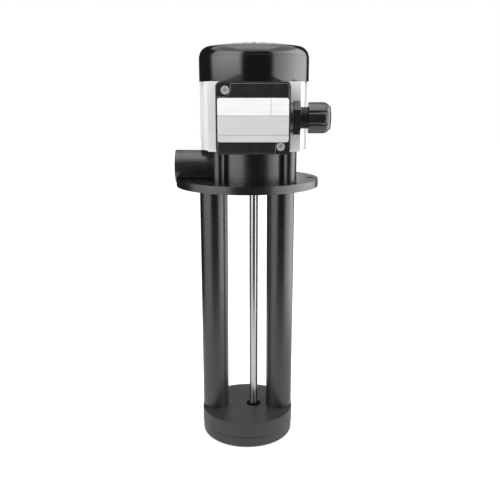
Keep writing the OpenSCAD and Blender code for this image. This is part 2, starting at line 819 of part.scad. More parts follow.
// Rubber slinger ring on the shaft, above the seal
module slinger_ring() {
    color(rubber_black)
    at_motor() translate([0, 0, slinger_z]) difference() {
        union() {
            cylinder(d1 = slinger_d, d2 = shaft_d + 2 * slinger_hub_t, h = slinger_lip_h);
            cylinder(d = shaft_d + 2 * slinger_hub_t, h = slinger_h);
        }
        translate([0, 0, -cut]) cylinder(d = shaft_d + 2 * shaft_fit, h = slinger_h + 2 * cut);
    }
}

module lower_end_shield() {
    hub_top_z = lower_bearing_z + bearing_h + hub_past_bearing;
    color(satin_aluminium)
    at_motor() difference() {
        union() {
            translate([0, 0, neck_top_z]) cylinder(d = housing_bore_d - 2 * seat_fit, h = lower_shield_t);
            translate([0, 0, neck_top_z]) cylinder(d = bearing_hub_d, h = hub_top_z - neck_top_z);
        }
        translate([0, 0, neck_top_z - cut]) cylinder(d = bearing_shoulder_d, h = bearing_shoulder + 2 * cut);
        translate([0, 0, lower_bearing_z]) cylinder(d = bearing_d + 2 * seat_fit, h = bearing_h + 2 * cut);
        tube(housing_bore_d - 2 * shield_rim_t, bearing_hub_d + 2 * shield_hub_gap,
            neck_top_z + lower_shield_floor_t, lower_shield_t);
    }
}

module bearing_outer(z0) {
    at_motor() difference() {
        tube(bearing_d, race_outer_d, z0, bearing_h);
        translate([0, 0, z0 + bearing_h / 2]) ball_track();
    }
}

module bearing_inner(z0) {
    at_motor() difference() {
        tube(race_inner_d, shaft_d + 2 * shaft_fit, z0, bearing_h);
        translate([0, 0, z0 + bearing_h / 2]) ball_track();
    }
}

// Groove that the balls run in
module ball_track() {
    rotate_extrude() translate([ball_pcd / 2, 0]) circle(d = ball_d + 2 * ball_gap, $fn = 48);
}

// Balls held by their cage
module bearing_balls(z0) {
    cage_t = 1.2;
    at_motor() translate([0, 0, z0 + bearing_h / 2]) {
        for (i = [0 : ball_count - 1]) rotate(i * 360 / ball_count)
            translate([ball_pcd / 2, 0, 0]) sphere(d = ball_d, $fn = 48);
        tube(ball_pcd + cage_t, ball_pcd - cage_t, -cage_t / 2, cage_t);
    }
}

module lower_bearing_outer() { color(steel) bearing_outer(lower_bearing_z); }
module lower_bearing_inner() { color(steel) bearing_inner(lower_bearing_z); }
module lower_bearing_balls() { color("silver") bearing_balls(lower_bearing_z); }
module upper_bearing_outer() { color(steel) bearing_outer(upper_bearing_z); }
module upper_bearing_inner() { color(steel) bearing_inner(upper_bearing_z); }
module upper_bearing_balls() { color("silver") bearing_balls(upper_bearing_z); }

module upper_end_shield() {
    color(satin_aluminium)
    difference() {
        at_motor() union() {
            translate([0, 0, housing_top_z]) cylinder(d = shield_plate_d, h = shield_plate_t);
            translate([0, 0, housing_top_z - upper_spigot_t])
                cylinder(d = housing_bore_d - 2 * seat_fit, h = upper_spigot_t + cut);
            translate([0, 0, upper_bearing_z - upper_hub_drop])
                cylinder(d = bearing_hub_d, h = plate_top_z - upper_bearing_z + upper_hub_drop);
        }
        at_motor() translate([0, 0, upper_bearing_z - upper_hub_drop - cut])
            cylinder(d = bearing_d + 2 * seat_fit, h = bearing_h + spring_space + upper_hub_drop + cut);
        at_motor() translate([0, 0, upper_bearing_z]) cylinder(d = bearing_shoulder_d, h = plate_top_z);
        at_bolts() translate([0, 0, housing_top_z - cut])
            cylinder(d = tie_bolt_d + 2 * loose_fit, h = shield_plate_t + 2 * cut);
        at_cover_fixings() rotate([0, 90, 0])
            translate([0, 0, -fixing_grip]) cylinder(d = fixing_d + 2 * screw_fit, h = fixing_grip + cut);
    }
}

// Places children on the shield's rim at the two screws of the fan cover, with +X outwards
module at_cover_fixings() {
    at_motor() for (a = cover_fixing_angles) rotate(a)
        translate([shield_plate_d / 2, 0, housing_top_z + shield_plate_t / 2]) children();
}

// Conical spring over the upper bearing, which presses on its outer ring
module preload_spring() {
    inner_r = race_outer_d / 2;
    outer_r = bearing_d / 2 - shaft_fit;
    floor_z = upper_bearing_z + bearing_h + touch_gap;
    rise = spring_space - spring_t - 2 * touch_gap;
    color(steel)
    at_motor() rotate_extrude() polygon([
        [inner_r, floor_z],
        [outer_r, floor_z + rise],
        [outer_r, floor_z + rise + spring_t],
        [inner_r, floor_z + spring_t]
    ]);
}

module stator_core() {
    color("#6f7478")
    at_motor() translate([0, 0, core_z]) linear_extrude(core_h) difference() {
        circle(d = core_d);
        circle(d = rotor_d + 2 * air_gap);
        for (i = [0 : slot_count - 1]) rotate(i * 360 / slot_count) {
            translate([slot_pcd / 2, 0]) circle(d = slot_d, $fn = 32);
            translate([rotor_d / 4, -slot_opening / 2]) square([slot_pcd / 2 - rotor_d / 4, slot_opening]);
        }
        for (i = [0 : 3]) rotate(45 + i * 90) translate([core_d / 2, 0]) circle(d = core_notch_d, $fn = 32);
    }
}

// Copper windings: a leg through each slot and an end turn at each face of the core
module stator_windings() {
    leg_h = core_h + 2 * winding_gap + winding_h;
    color(copper)
    at_motor() {
        for (i = [0 : slot_count - 1]) rotate(i * 360 / slot_count)
            translate([slot_pcd / 2, 0, core_z - winding_gap - winding_h / 2])
                cylinder(d = winding_leg_d, h = leg_h, $fn = 32);
        for (z = [core_z - winding_gap - winding_h, core_z + core_h + winding_gap])
            end_turn(z);
    }
}

module end_turn(z) {
    round_r = 2;
    w = (winding_out_d - winding_in_d) / 2;
    translate([0, 0, z + winding_h / 2]) rotate_extrude()
        translate([winding_in_d / 2 + w / 2, 0]) round_rect(w, winding_h, round_r, $fn = 32);
}

module rotor_core() {
    color("#7a7f84")
    at_motor() translate([0, 0, core_z]) linear_extrude(core_h) difference() {
        circle(d = rotor_d);
        circle(d = rotor_seat_d + 2 * shaft_fit);
        for (i = [0 : bar_count - 1]) rotate(i * 360 / bar_count)
            translate([bar_pcd / 2, 0]) circle(d = bar_d + 2 * screw_fit, $fn = 32);
    }
}

// Cage of the rotor: bars through the core and a ring at each end
module rotor_cage() {
    color(satin_aluminium)
    at_motor() {
        for (i = [0 : bar_count - 1]) rotate(i * 360 / bar_count)
            translate([bar_pcd / 2, 0, core_z - cut]) cylinder(d = bar_d, h = core_h + 2 * cut, $fn = 32);
        for (z = [core_z - end_ring_h, core_z + core_h])
            tube(end_ring_out_d, end_ring_in_d, z, end_ring_h);
    }
}

// Motor housing: fluted extrusion with a flat pad on the front and four channels for the tie bolts
module motor_housing() {
    color(satin_aluminium)
    difference() {
        at_motor() translate([0, 0, neck_top_z]) linear_extrude(housing_h) difference() {
            union() {
                intersection() {
                    circle(d = housing_d, $fn = 180);
                    translate([-housing_d / 2, -pad_reach]) square(housing_d);
                }
                translate([-pad_w / 2, -pad_reach]) square([pad_w, pad_reach]);
            }
            circle(d = housing_bore_d);
            for (a = flute_angles) rotate(a)
                translate([housing_d / 2 - flute_depth, -flute_w / 2]) square([housing_d, flute_w]);
        }
        at_bolts() translate([0, 0, neck_top_z - cut]) cylinder(d = bolt_channel_d, h = housing_h + 2 * cut);
        translate([motor_x, 0, lead_hole_z]) front_rod(lead_hole_d, -housing_bore_d / 4, pad_reach);
        at_box_screws() front_rod(box_screw_d + 2 * screw_fit, pad_y + box_screw_grip, box_screw_grip + cut);
        at_earth_screw() front_rod(earth_screw_d + 2 * screw_fit, pad_y + earth_grip, earth_grip + cut);
    }
}

// Places children at the two screws that hold the terminal box
module at_box_screws() {
    at_box() for (s = [-1, 1]) translate([s * box_screw_x, 0, s * box_screw_dz]) children();
}

// Places children at the earth screw
module at_earth_screw() {
    at_box() translate([earth_screw_x, 0, earth_screw_z]) children();
}

module tie_bolts() {
    bottom_z = neck_top_z - tie_bolt_grip;
    color(steel)
    at_bolts() {
        translate([0, 0, bottom_z]) cylinder(d = tie_bolt_d, h = plate_top_z - bottom_z + cut);
        translate([0, 0, plate_top_z]) cylinder(d = tie_bolt_head_af / cos(30), h = tie_bolt_head_h, $fn = 6);
    }
}

module cooling_fan() {
    color(black_plastic)
    at_motor() translate([0, 0, fan_z]) difference() {
        union() {
            cylinder(d = fan_d, h = fan_disc_t);
            cylinder(d = fan_hub_d, h = fan_h);
            for (i = [0 : fan_blades - 1]) rotate(i * 360 / fan_blades) intersection() {
                translate([0, -fan_blade_t / 2, fan_disc_t / 2])
                    cube([fan_d / 2, fan_blade_t, fan_h - fan_disc_t / 2]);
                difference() {
                    cylinder(d = fan_d - 2 * blade_tip_inset, h = fan_h);
                    translate([0, 0, -cut]) cylinder(d = fan_blade_root, h = fan_h + 2 * cut);
                }
            }
        }
        translate([0, 0, -cut]) cylinder(d = shaft_d + 2 * shaft_fit, h = fan_h + 2 * cut);
    }
}

module fan_clip() {
    color(steel)
    at_motor() tube(clip_d, shaft_d - 2 * clip_groove + 2 * shaft_fit, fan_clip_z, clip_t);
}

// Half profile of the fan cover, grown or shrunk by its wall
module dome_profile(wall) {
    r = fan_cover_d / 2 - wall;
    top = fan_cover_h - wall;
    round_r = shoulder_r - wall;
    crown_r = (pow(r - round_r, 2) + pow(crown_h, 2)) / (2 * crown_h);
    square([r, dome_edge_z]);
    square([r - dome_inset, top - crown_h - round_r]);
    square([r - dome_inset - round_r, top - crown_h]);
    translate([r - dome_inset - round_r, top - crown_h - round_r]) intersection() {
        circle(round_r);
        square(round_r);
    }
    intersection() {
        translate([0, top - crown_r]) circle(crown_r, $fn = 240);
        square([r - dome_inset - round_r, top]);
    }
}

// Fan cover: domed cap with air slots in its top
module fan_cover() {
    color(black_plastic)
    difference() {
        at_motor() translate([0, 0, housing_top_z]) rotate_extrude($fn = 180) difference() {
            dome_profile(0);
            translate([0, -cut]) square([fan_cover_inner_d / 2, 2 * cut]);
            dome_profile(fan_cover_wall);
        }
        at_motor() for (i = [0 : vent_count - 1]) rotate(i * 360 / vent_count)
            translate([vent_in_r, -vent_w / 2, shoulder_z])
                cube([vent_out_r - vent_in_r, vent_w, fan_cover_h]);
        at_cover_fixings() rotate([0, 90, 0]) translate([0, 0, -cut])
            cylinder(d = fixing_d + 2 * loose_fit, h = fan_cover_wall + 2 * cut);
    }
}

// Two screws that hold the fan cover on the upper end shield
module fan_cover_screws() {
    face = (fan_cover_d - shield_plate_d) / 2;
    color(steel)
    at_cover_fixings() rotate([0, 90, 0]) {
        translate([0, 0, -fixing_grip]) cylinder(d = fixing_d, h = fixing_grip + face + fixing_head_h / 2);
        translate([0, 0, face]) cylinder(d = fixing_head_d, h = fixing_head_h);
    }
}

// Outline of the terminal box's gaskets
module box_ring(w, h, r, wall) {
    difference() {
        round_rect(w, h, r);
        round_rect(w - 2 * wall, h - 2 * wall, max(r - wall, 1));
    }
}

module box_gasket() {
    color(rubber_black)
    at_box() front_slab(pad_y, gasket_t) box_ring(box_w - 2 * gasket_inset, box_h - 4 * gasket_inset,
        box_corner_r, box_wall);
}

module terminal_box() {
    color(black_plastic)
    difference() {
        union() {
            at_box() difference() {
                front_slab(box_back_y, box_depth) round_rect(box_w, box_h, box_corner_r);
                front_slab(box_back_y - box_wall, box_depth)
                    round_rect(box_w - 2 * box_wall, box_h - 2 * box_wall, box_corner_r - box_wall / 2);
            }
            at_box() at_lid_screws() front_rod(lid_boss_d, box_back_y - box_wall / 2, box_depth - box_wall / 2);
            at_gland() translate([box_side_x - box_wall / 2, 0, 0]) rotate([0, 90, 0])
                cylinder(d = gland_boss_d, h = gland_boss_h + box_wall / 2);
        }
        at_gland() translate([box_side_x - 2 * box_wall, 0, 0]) rotate([0, 90, 0])
            cylinder(d = gland_thread_d + 2 * loose_fit, h = 2 * box_wall + gland_boss_h + cut);
        at_box() at_lid_screws()
            front_rod(lid_screw_d + 2 * screw_fit, box_front_y + lid_screw_len, lid_screw_len + cut);
        at_box_screws() front_rod(box_screw_d + 2 * loose_fit, 0, pad_reach + gasket_t + box_wall + cut);
        at_earth_screw() front_rod(earth_screw_d + 2 * loose_fit, 0, pad_reach + gasket_t + box_wall + cut);
        translate([motor_x, 0, lead_hole_z]) front_rod(lead_hole_d, 0, pad_reach + gasket_t + box_wall + cut);
    }
}

module box_screws() {
    head_y = box_back_y - box_wall;
    color(steel)
    at_box_screws() difference() {
        union() {
            front_rod(box_screw_d, pad_y + box_screw_grip, box_screw_grip + gasket_t + box_wall + cut);
            front_rod(box_screw_head_d, head_y, box_screw_head_h);
        }
        translate([0, head_y - box_screw_head_h, 0]) cross_recess(0);
    }
}

// Terminal block: insulating body with a barrier between neighbouring terminals
module terminal_block() {
    back_y = box_back_y - box_wall;
    barrier_t = 1.2;
    barrier_h = 3;
    color("#d9d4c4")
    translate([motor_x, 0, block_z]) difference() {
        union() {
            front_slab(back_y, block_depth) square([block_w, block_h], center = true);
            for (i = [-1 : 2]) translate([(i - 0.5) * terminal_pitch, 0, 0])
                front_slab(back_y, block_depth + barrier_h) square([barrier_t, block_h], center = true);
        }
        at_terminals() front_rod(terminal_d + 2 * screw_fit, back_y - block_depth + terminal_screw_len,
            terminal_screw_len + cut);
    }
}

// Places children at the six terminal screws
module at_terminals() {
    for (i = [-1 : 1], s = [-1, 1]) translate([i * terminal_pitch, 0, s * block_h / 4]) children();
}

module terminal_screws() {
    front_y = box_back_y - box_wall - block_depth;
    color("#c9a94e")
    translate([motor_x, 0, block_z]) at_terminals() difference() {
        front_rod(terminal_d, front_y + terminal_screw_len - screw_fit,
            terminal_screw_len - screw_fit + terminal_screw_proud);
        translate([-terminal_d, front_y - terminal_screw_proud - cut, -recess_w / 2])
            cube([2 * terminal_d, cut + terminal_screw_proud, recess_w]);
    }
}

module earth_screw() {
    head_y = box_back_y - box_wall;
    color("#c9a94e")
    at_earth_screw() difference() {
        union() {
            front_rod(earth_screw_d, pad_y + earth_grip, earth_grip + gasket_t + box_wall + cut);
            front_rod(earth_head_d, head_y, earth_head_h);
        }
        translate([0, head_y - earth_head_h, 0]) cross_recess(0);
    }
}

// Three leads from the windings' upper end turn, through the housing and down to the terminal block
module motor_leads() {
    inner_y = -winding_out_d / 2 - lead_gap;
    bend_y = lead_front_y + lead_bend_r;
    top_z = lead_hole_z;
    block_top_z = block_z + block_h / 2;
    color("#a33b30")
    for (i = [-1 : 1]) translate([motor_x + i * lead_pitch, 0, 0]) {
        translate([0, 0, top_z]) front_rod(lead_d, inner_y, inner_y - bend_y, $fn = 24);
        translate([0, bend_y, top_z - lead_bend_r]) rotate([0, 90, 0]) rotate([0, 0, 180])
            rotate_extrude(angle = 90, $fn = 48) translate([lead_bend_r, 0]) circle(d = lead_d, $fn = 24);
        translate([0, lead_front_y, block_top_z])
            cylinder(d = lead_d, h = top_z - lead_bend_r - block_top_z, $fn = 24);
    }
}

module lid_gasket() {
    color(rubber_black)
    at_box() difference() {
        front_slab(box_front_y, gasket_t) box_ring(lid_w, lid_h, lid_corner_r, box_wall);
        at_lid_screws() front_rod(lid_screw_d + 2 * loose_fit, 0, -lid_front_y);
    }
}

// Lid with two corner notches for its screws and a bevel line round its raised face
module box_lid() {
    color(black_plastic)
    at_box() difference() {
        union() {
            front_slab(lid_back_y, lid_t - bevel_h) round_rect(lid_w, lid_h, lid_corner_r);
            front_slab(lid_back_y, lid_t) round_rect(lid_w - 2 * bevel_inset, lid_h - 2 * bevel_inset, lid_corner_r);
        }
        for (s = [-1, 1]) front_slab(lid_front_y + notch_depth, notch_depth + cut)
            rotate(s < 0 ? 0 : 180) lid_notch();
        difference() {
            front_slab(lid_back_y + cut, lid_t - lid_skin + cut)
                round_rect(lid_w - 2 * box_wall, lid_h - 2 * box_wall, lid_corner_r / 2);
            at_lid_screws() front_rod(lid_boss_d, 0, -lid_front_y);
        }
        at_lid_screws() front_rod(lid_screw_d + 2 * loose_fit, 0, -lid_front_y + cut);
    }
}

// Upper left notch of the lid, with a round inner corner
module lid_notch() {
    corner_x = -lid_w / 2;
    corner_y = lid_h / 2;
    translate([corner_x - cut, corner_y - notch_side + notch_r])
        square([notch_side + cut, notch_side - notch_r + cut]);
    translate([corner_x - cut, corner_y - notch_side]) square([notch_side - notch_r + cut, notch_side + cut]);
    translate([corner_x + notch_side - notch_r, corner_y - notch_side + notch_r]) circle(notch_r);
}

module lid_screws() {
    head_y = lid_front_y + notch_depth;
    color("silver")
    at_box() at_lid_screws() difference() {
        union() {
            front_rod(lid_screw_d, box_front_y + lid_screw_len, lid_screw_len + gasket_t + lid_t - notch_depth);
            front_rod(lid_screw_head_d, head_y, lid_screw_head_h);
        }
        translate([0, head_y - lid_screw_head_h, 0]) cross_recess(0);
    }
}

// Bare metal nameplate
module nameplate() {
    color("#e6e8e8")
    at_box() translate([0, 0, -plate_drop]) front_slab(lid_front_y, plate_t)
        round_rect(plate_w, plate_h, plate_corner_r);
}

module gland_washer() {
    color(rubber_black)
    at_gland() tube_x(gland_boss_d - 2 * gland_washer_inset, gland_thread_d + 2 * loose_fit,
        box_side_x + gland_boss_h, gland_washer_t);
}

// Gland body: threaded stem, hexagon, and a threaded neck under the cap nut
module gland_body() {
    thread_start = gland_neck_x + thread_runout;
    crests = floor((gland_neck_len - thread_runout - thread_end_land) / gland_pitch);
    color(black_plastic)
    at_gland() difference() {
        union() {
            translate([gland_hex_x - gland_stem_len, 0, 0]) rotate([0, 90, 0])
                cylinder(d = gland_thread_d, h = gland_stem_len + cut);
            translate([gland_hex_x, 0, 0]) rotate([0, 90, 0])
                cylinder(d = gland_hex_af / cos(30), h = gland_hex_t, $fn = 6);
            translate([gland_neck_x - cut, 0, 0]) rotate([0, 90, 0])
                cylinder(d = gland_neck_d, h = gland_neck_len + cut);
        }
        translate([gland_hex_x - gland_stem_len - cut, 0, 0]) rotate([0, 90, 0])
            cylinder(d = gland_bore_d, h = gland_stem_len + gland_hex_t + gland_neck_len + 2 * cut);
        for (i = [0 : crests - 1]) translate([thread_start + (i + 0.5) * gland_pitch, 0, 0])
            rotate([0, 90, 0]) thread_groove();
    }
}

// One ring-shaped thread groove round the gland's neck
module thread_groove() {
    rotate_extrude() translate([gland_neck_d / 2, 0])
        polygon([
            [-thread_depth, 0],
            [thread_groove_open, thread_groove_share * gland_pitch],
            [thread_groove_open, -thread_groove_share * gland_pitch]
        ]);
}

// Rubber seal that grips the cable
module gland_seal() {
    color(rubber_black)
    at_gland() {
        tube_x(gland_bore_d - 2 * screw_fit, gland_seal_bore_d, seal_collar_x - seal_insert_len,
            seal_insert_len + seal_collar_t / 2);
        tube_x(seal_collar_d, gland_seal_bore_d, seal_collar_x, seal_collar_t);
    }
}

// Slip ring that the cap nut turns against
module gland_slip_ring() {
    color("#8b8d90")
    at_gland() tube_x(seal_collar_d, slip_ring_bore_d, slip_ring_x, slip_ring_t);
}

// Cap nut with grip flutes and a domed end
module gland_cap() {
    r = gland_cap_d / 2;
    end_r = cap_end_d / 2;
    color(black_plastic)
    at_gland() difference() {
        translate([cap_x, 0, 0]) rotate([0, 90, 0]) rotate_extrude() {
            square([r, cap_body_len]);
            square([end_r, cap_body_len + cap_dome_len]);
            intersection() {
                translate([0, cap_body_len]) square([r, cap_dome_len]);
                translate([end_r - (r - end_r), cap_body_len - cap_dome_drop]) circle(2 * (r - end_r));
            }
        }
        translate([cap_x - cut, 0, 0]) rotate([0, 90, 0]) cylinder(d = cap_cavity_d, h = cap_cavity_len + cut);
        translate([cap_x, 0, 0]) rotate([0, 90, 0]) cylinder(d = cap_hole_d, h = cap_body_len + cap_dome_len + cut);
        for (i = [0 : cap_flutes - 1]) rotate([(i + 0.5) * 360 / cap_flutes, 0, 0])
            translate([cap_x - cut, 0, r + cap_flute_d / 4]) rotate([0, 90, 0])
                cylinder(d = cap_flute_d, h = cap_body_len + cap_dome_len, $fn = 32);
    }
}

pump_head();
column_body();
flange_screws();
pipe_seal();
volute_casing();
column_screws();
suction_cover();
cover_screws();
volute_seal();
impeller();
impeller_key();
impeller_washer();
impeller_nut();
impeller_stop_ring();
motor_shaft();
shaft_lip_seal();
slinger_ring();
lower_end_shield();
lower_bearing_outer();
lower_bearing_inner();
lower_bearing_balls();
upper_end_shield();
upper_bearing_outer();
upper_bearing_inner();
upper_bearing_balls();
preload_spring();
stator_core();
stator_windings();
rotor_core();
rotor_cage();
motor_housing();
tie_bolts();
cooling_fan();
fan_clip();
fan_cover();
fan_cover_screws();
box_gasket();
terminal_box();
box_screws();
terminal_block();
terminal_screws();
earth_screw();
motor_leads();
lid_gasket();
box_lid();
lid_screws();
nameplate();
gland_washer();
gland_body();
gland_seal();
gland_slip_ring();
gland_cap();
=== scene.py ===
"""Immersion coolant pump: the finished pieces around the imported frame, their materials and the studio."""

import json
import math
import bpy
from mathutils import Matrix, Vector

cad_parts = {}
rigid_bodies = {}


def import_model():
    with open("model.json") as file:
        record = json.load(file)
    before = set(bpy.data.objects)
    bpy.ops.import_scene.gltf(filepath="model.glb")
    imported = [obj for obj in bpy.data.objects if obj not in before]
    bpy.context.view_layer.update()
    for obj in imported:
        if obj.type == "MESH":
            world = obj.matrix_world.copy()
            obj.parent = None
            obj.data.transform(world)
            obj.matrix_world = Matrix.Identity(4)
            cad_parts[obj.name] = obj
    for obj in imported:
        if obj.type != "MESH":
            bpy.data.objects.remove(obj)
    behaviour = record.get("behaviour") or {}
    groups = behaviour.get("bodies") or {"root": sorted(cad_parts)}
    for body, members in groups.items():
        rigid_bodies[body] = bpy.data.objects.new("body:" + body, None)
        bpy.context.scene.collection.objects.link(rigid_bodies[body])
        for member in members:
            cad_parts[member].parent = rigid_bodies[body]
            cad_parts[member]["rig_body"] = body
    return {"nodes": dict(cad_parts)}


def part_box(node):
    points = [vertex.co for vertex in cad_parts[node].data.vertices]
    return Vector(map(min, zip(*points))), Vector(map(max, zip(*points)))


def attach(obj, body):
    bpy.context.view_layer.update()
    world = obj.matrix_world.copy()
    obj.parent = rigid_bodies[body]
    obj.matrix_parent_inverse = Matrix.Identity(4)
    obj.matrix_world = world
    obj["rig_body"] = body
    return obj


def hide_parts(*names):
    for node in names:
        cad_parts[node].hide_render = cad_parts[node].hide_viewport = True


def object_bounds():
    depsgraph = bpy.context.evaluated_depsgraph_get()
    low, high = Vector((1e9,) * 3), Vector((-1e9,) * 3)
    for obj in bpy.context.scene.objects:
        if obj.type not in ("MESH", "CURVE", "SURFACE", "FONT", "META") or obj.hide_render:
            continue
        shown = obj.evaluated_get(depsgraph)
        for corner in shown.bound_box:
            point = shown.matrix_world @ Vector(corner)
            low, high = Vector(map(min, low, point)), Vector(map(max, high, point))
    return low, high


bl_info = {
    "name": "Coolant Pump",
    "version": (1, 0, 0),
    "blender": (4, 5, 0),
    "location": "3D View > Sidebar > Coolant Pump",
    "description": "Builds the finished pieces of an immersion coolant pump around its frame",
    "category": "Object",
}

import bmesh
import bpy
from bpy.props import FloatProperty, FloatVectorProperty, IntProperty, PointerProperty
from mathutils import Vector

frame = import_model()
NODES = frame["nodes"]
CAD_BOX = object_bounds()
MM = 0.001
# Points nearer to each other than this many metres are one point
SAME_POINT = 2e-6
# Faces that turn by less than this many degrees are one flat face
FLAT_FACE = 0.4
# Edges that turn by more than this many degrees are rounded: on most pieces, on those with many fine
# steps round them, and on rings and leads that are round all over
SHARP_EDGE = 32.0
STEPPED_EDGE = 40.0
RING_EDGE = 60.0

# Places that the frame gives, in metres
SHAFT_LO, SHAFT_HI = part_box("motor_shaft")
SHAFT_AXIS = Vector(((SHAFT_LO.x + SHAFT_HI.x) / 2, 0.0, 0.0))
COVER_LO, COVER_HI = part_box("fan_cover")
PLATE_LO, PLATE_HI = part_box("nameplate")


def colour_property(name, description, default):
    """A colour that a user can change."""
    return FloatVectorProperty(
        name=name, description=description, subtype="COLOR", size=3, min=0.0, max=1.0, default=default
    )


def length_property(name, description, millimetres):
    """A length that a user can change, with its default in millimetres."""
    return FloatProperty(
        name=name, description=description, unit="LENGTH", min=0.0, precision=5, default=millimetres * MM
    )


def count_property(name, description, least, default):
    """A number of like pieces that a user can change."""
    return IntProperty(name=name, description=description, min=least, default=default)


def brightness_property(name, what, default):
    """The brightness of a lamp or panel, where 1 is white."""
    return FloatProperty(name=name, description=f"Brightness of the {what}", min=0.0, default=default)


class CoolantPumpFinish(bpy.types.PropertyGroup):
    """Colours and edge rounding of the pump's pieces."""

    body_colour: colour_property(
        "Moulded body", "Black plastic of the pump head and columns", (0.007, 0.007, 0.0074)
    )
    base_colour: colour_property(
        "Pump base", "Dark grey plastic of the casing and its cover", (0.022, 0.022, 0.023)
    )
    cap_colour: colour_property("Fan cover", "Glossy black plastic of the fan cover", (0.006, 0.006, 0.007))
    box_colour: colour_property(
        "Terminal box", "Fine satin plastic of the box and its lid", (0.010, 0.010, 0.0105)
    )
    housing_colour: colour_property("Housing", "Satin aluminium of the motor housing", (0.79, 0.80, 0.785))
    plate_colour: colour_property("Nameplate", "Bare metal face of the nameplate", (0.78, 0.78, 0.78))
    moulded_edge: length_property("Moulded edges", "Rounding of the moulded parts' edges", 0.45)
    metal_edge: length_property("Metal edges", "Rounding of the metal parts' edges", 0.2)
    lid_chamfer: length_property("Lid chamfer", "Rounding of the edges on the lid's front", 0.75)
    small_edge: length_property("Small edges", "Rounding of screws and other small parts", 0.1)


class CoolantPumpSizes(bpy.types.PropertyGroup):
    """Counts and sizes of the pieces that repeat."""

    vent_count: count_property("Air slots", "Slots in the top of the fan cover", 6, 24)
    vent_width: length_property("Air slot width", "Width of one air slot", 2.4)
    vent_inner: length_property("Air slot start", "Distance of a slot's inner end from the shaft's axis", 14)
    vent_outer: length_property("Air slot end", "Distance of a slot's outer end from the shaft's axis", 36)
    ball_count: count_property("Bearing balls", "Balls in each bearing", 5, 7)
    fan_blades: count_property("Fan blades", "Blades of the cooling fan", 3, 9)
    wire_diameter: length_property("Winding wire", "Diameter of the wire in the end turns", 0.8)
    thread_pitch: length_property("Gland thread pitch", "Pitch of the thread on the gland's neck", 1.5)
    thread_depth: length_property("Gland thread depth", "Depth of the thread on the gland's neck", 0.7)


class CoolantPumpStage(bpy.types.PropertyGroup):
    """Camera and studio light."""

    camera_height: length_property("Camera height", "Height of the camera over the flange's underside", 85.2)
    camera_distance: length_property("Camera distance", "Distance of the camera before the shaft", 612.06)
    camera_side: length_property("Camera to the right", "Sideways place of the camera", 2.6)
    camera_pitch: FloatProperty(
        name="Camera pitch",
        description="How far the camera looks down",
        subtype="ANGLE",
        default=math.radians(13.55),
    )
    camera_lens: FloatProperty(
        name="Lens", description="Focal length", subtype="DISTANCE_CAMERA", default=47.78
    )
    left_light: brightness_property("Left softbox", "left softbox", 1.22)
    right_light: brightness_property("Right softbox", "right softbox", 1.1)
    top_light: brightness_property("Top softbox", "overhead softbox", 1.1)
    left_panel: brightness_property("Left panel", "left panel in reflections", 2.6)
    right_panel: brightness_property("Right panel", "right panel in reflections", 3.3)
    room_light: brightness_property("Room light", "room all round", 0.62)
    floor_colour: colour_property("Floor", "Pale floor", (0.82, 0.82, 0.82))


class Graph:
    """A node tree that is filled node by node."""

    def __init__(self, tree):
        self.tree = tree
        tree.nodes.clear()

    def add(self, kind, sockets=None, **settings):
        """Adds a node, sets its settings, and sets or links its inputs by name or place."""
        made = self.tree.nodes.new(kind)
        for name, value in settings.items():
            setattr(made, name, value)
        for key, value in (sockets or {}).items():
            if isinstance(value, bpy.types.NodeSocket):
                self.tree.links.new(value, made.inputs[key])
            else:
                made.inputs[key].default_value = value
        return made

    def link(self, source, target):
        """Joins an output to an input."""
        self.tree.links.new(source, target)

    def maths(self, operation, a, b=0.0, clamp=False):
        """Result of one sum on two values or outputs."""
        return self.add("ShaderNodeMath", {0: a, 1: b}, operation=operation, use_clamp=clamp).outputs[0]

    def half(self, value):
        """Half of a value."""
        return self.maths("MULTIPLY", value, 0.5)

    def middle(self, a, b):
        """Value halfway between two."""
        return self.half(self.maths("ADD", a, b))

    def ramp(self, value, low, high, out_low=0.0, out_high=1.0):
        """Value spread from one range to another, held at the ends."""
        sockets = {"Value": value, "From Min": low, "From Max": high, "To Min": out_low, "To Max": out_high}
        return self.add("ShaderNodeMapRange", sockets).outputs["Result"]

    def blend(self, factor, a, b):
        """Mix of two colours by a factor."""
        return self.add("ShaderNodeMix", {0: factor, 6: a, 7: b}, data_type="RGBA").outputs[2]

    def shades(self, factor, colour, darker, lighter):
        """Colour between a darker and a lighter shade of itself, by a factor."""
        return self.blend(factor, rgba(colour, darker), rgba(colour, lighter))


def rgba(colour, factor=1.0):
    """Colour with full opacity, made lighter or darker by a factor."""
    return (*[min(1.0, c * factor) for c in colour], 1.0)


class Finish(Graph):
    """A material under construction, with patterns that follow the piece's own coordinates."""

    def __init__(self, name):
        self.material = bpy.data.materials.new(name)
        self.material.use_nodes = True
        super().__init__(self.material.node_tree)
        self.place = self.add("ShaderNodeTexCoord").outputs["Object"]
        self.shader = self.add("ShaderNodeBsdfPrincipled")
        output = self.add("ShaderNodeOutputMaterial")
        self.link(self.shader.outputs["BSDF"], output.inputs["Surface"])

    def noise(self, scale, detail=4.0, stretch=(1.0, 1.0, 1.0), turn=(0.0, 0.0, 0.0)):
        """Cloudy pattern with this many cells in a metre."""
        place = self.add("ShaderNodeMapping", {"Vector": self.place, "Scale": stretch, "Rotation": turn})
        sockets = {"Vector": place.outputs["Vector"], "Scale": scale, "Detail": detail, "Roughness": 0.6}
        return self.add("ShaderNodeTexNoise", sockets).outputs[0]

    def put(self, socket, value):
        """Sets or links one socket of the shader."""
        if isinstance(value, bpy.types.NodeSocket):
            self.link(value, self.shader.inputs[socket])
        else:
            self.shader.inputs[socket].default_value = value

    def bump(self, height, strength, depth):
        """Gives the surface a relief of this depth in metres."""
        sockets = {"Height": height, "Strength": strength, "Distance": depth}
        self.put("Normal", self.add("ShaderNodeBump", sockets).outputs["Normal"])


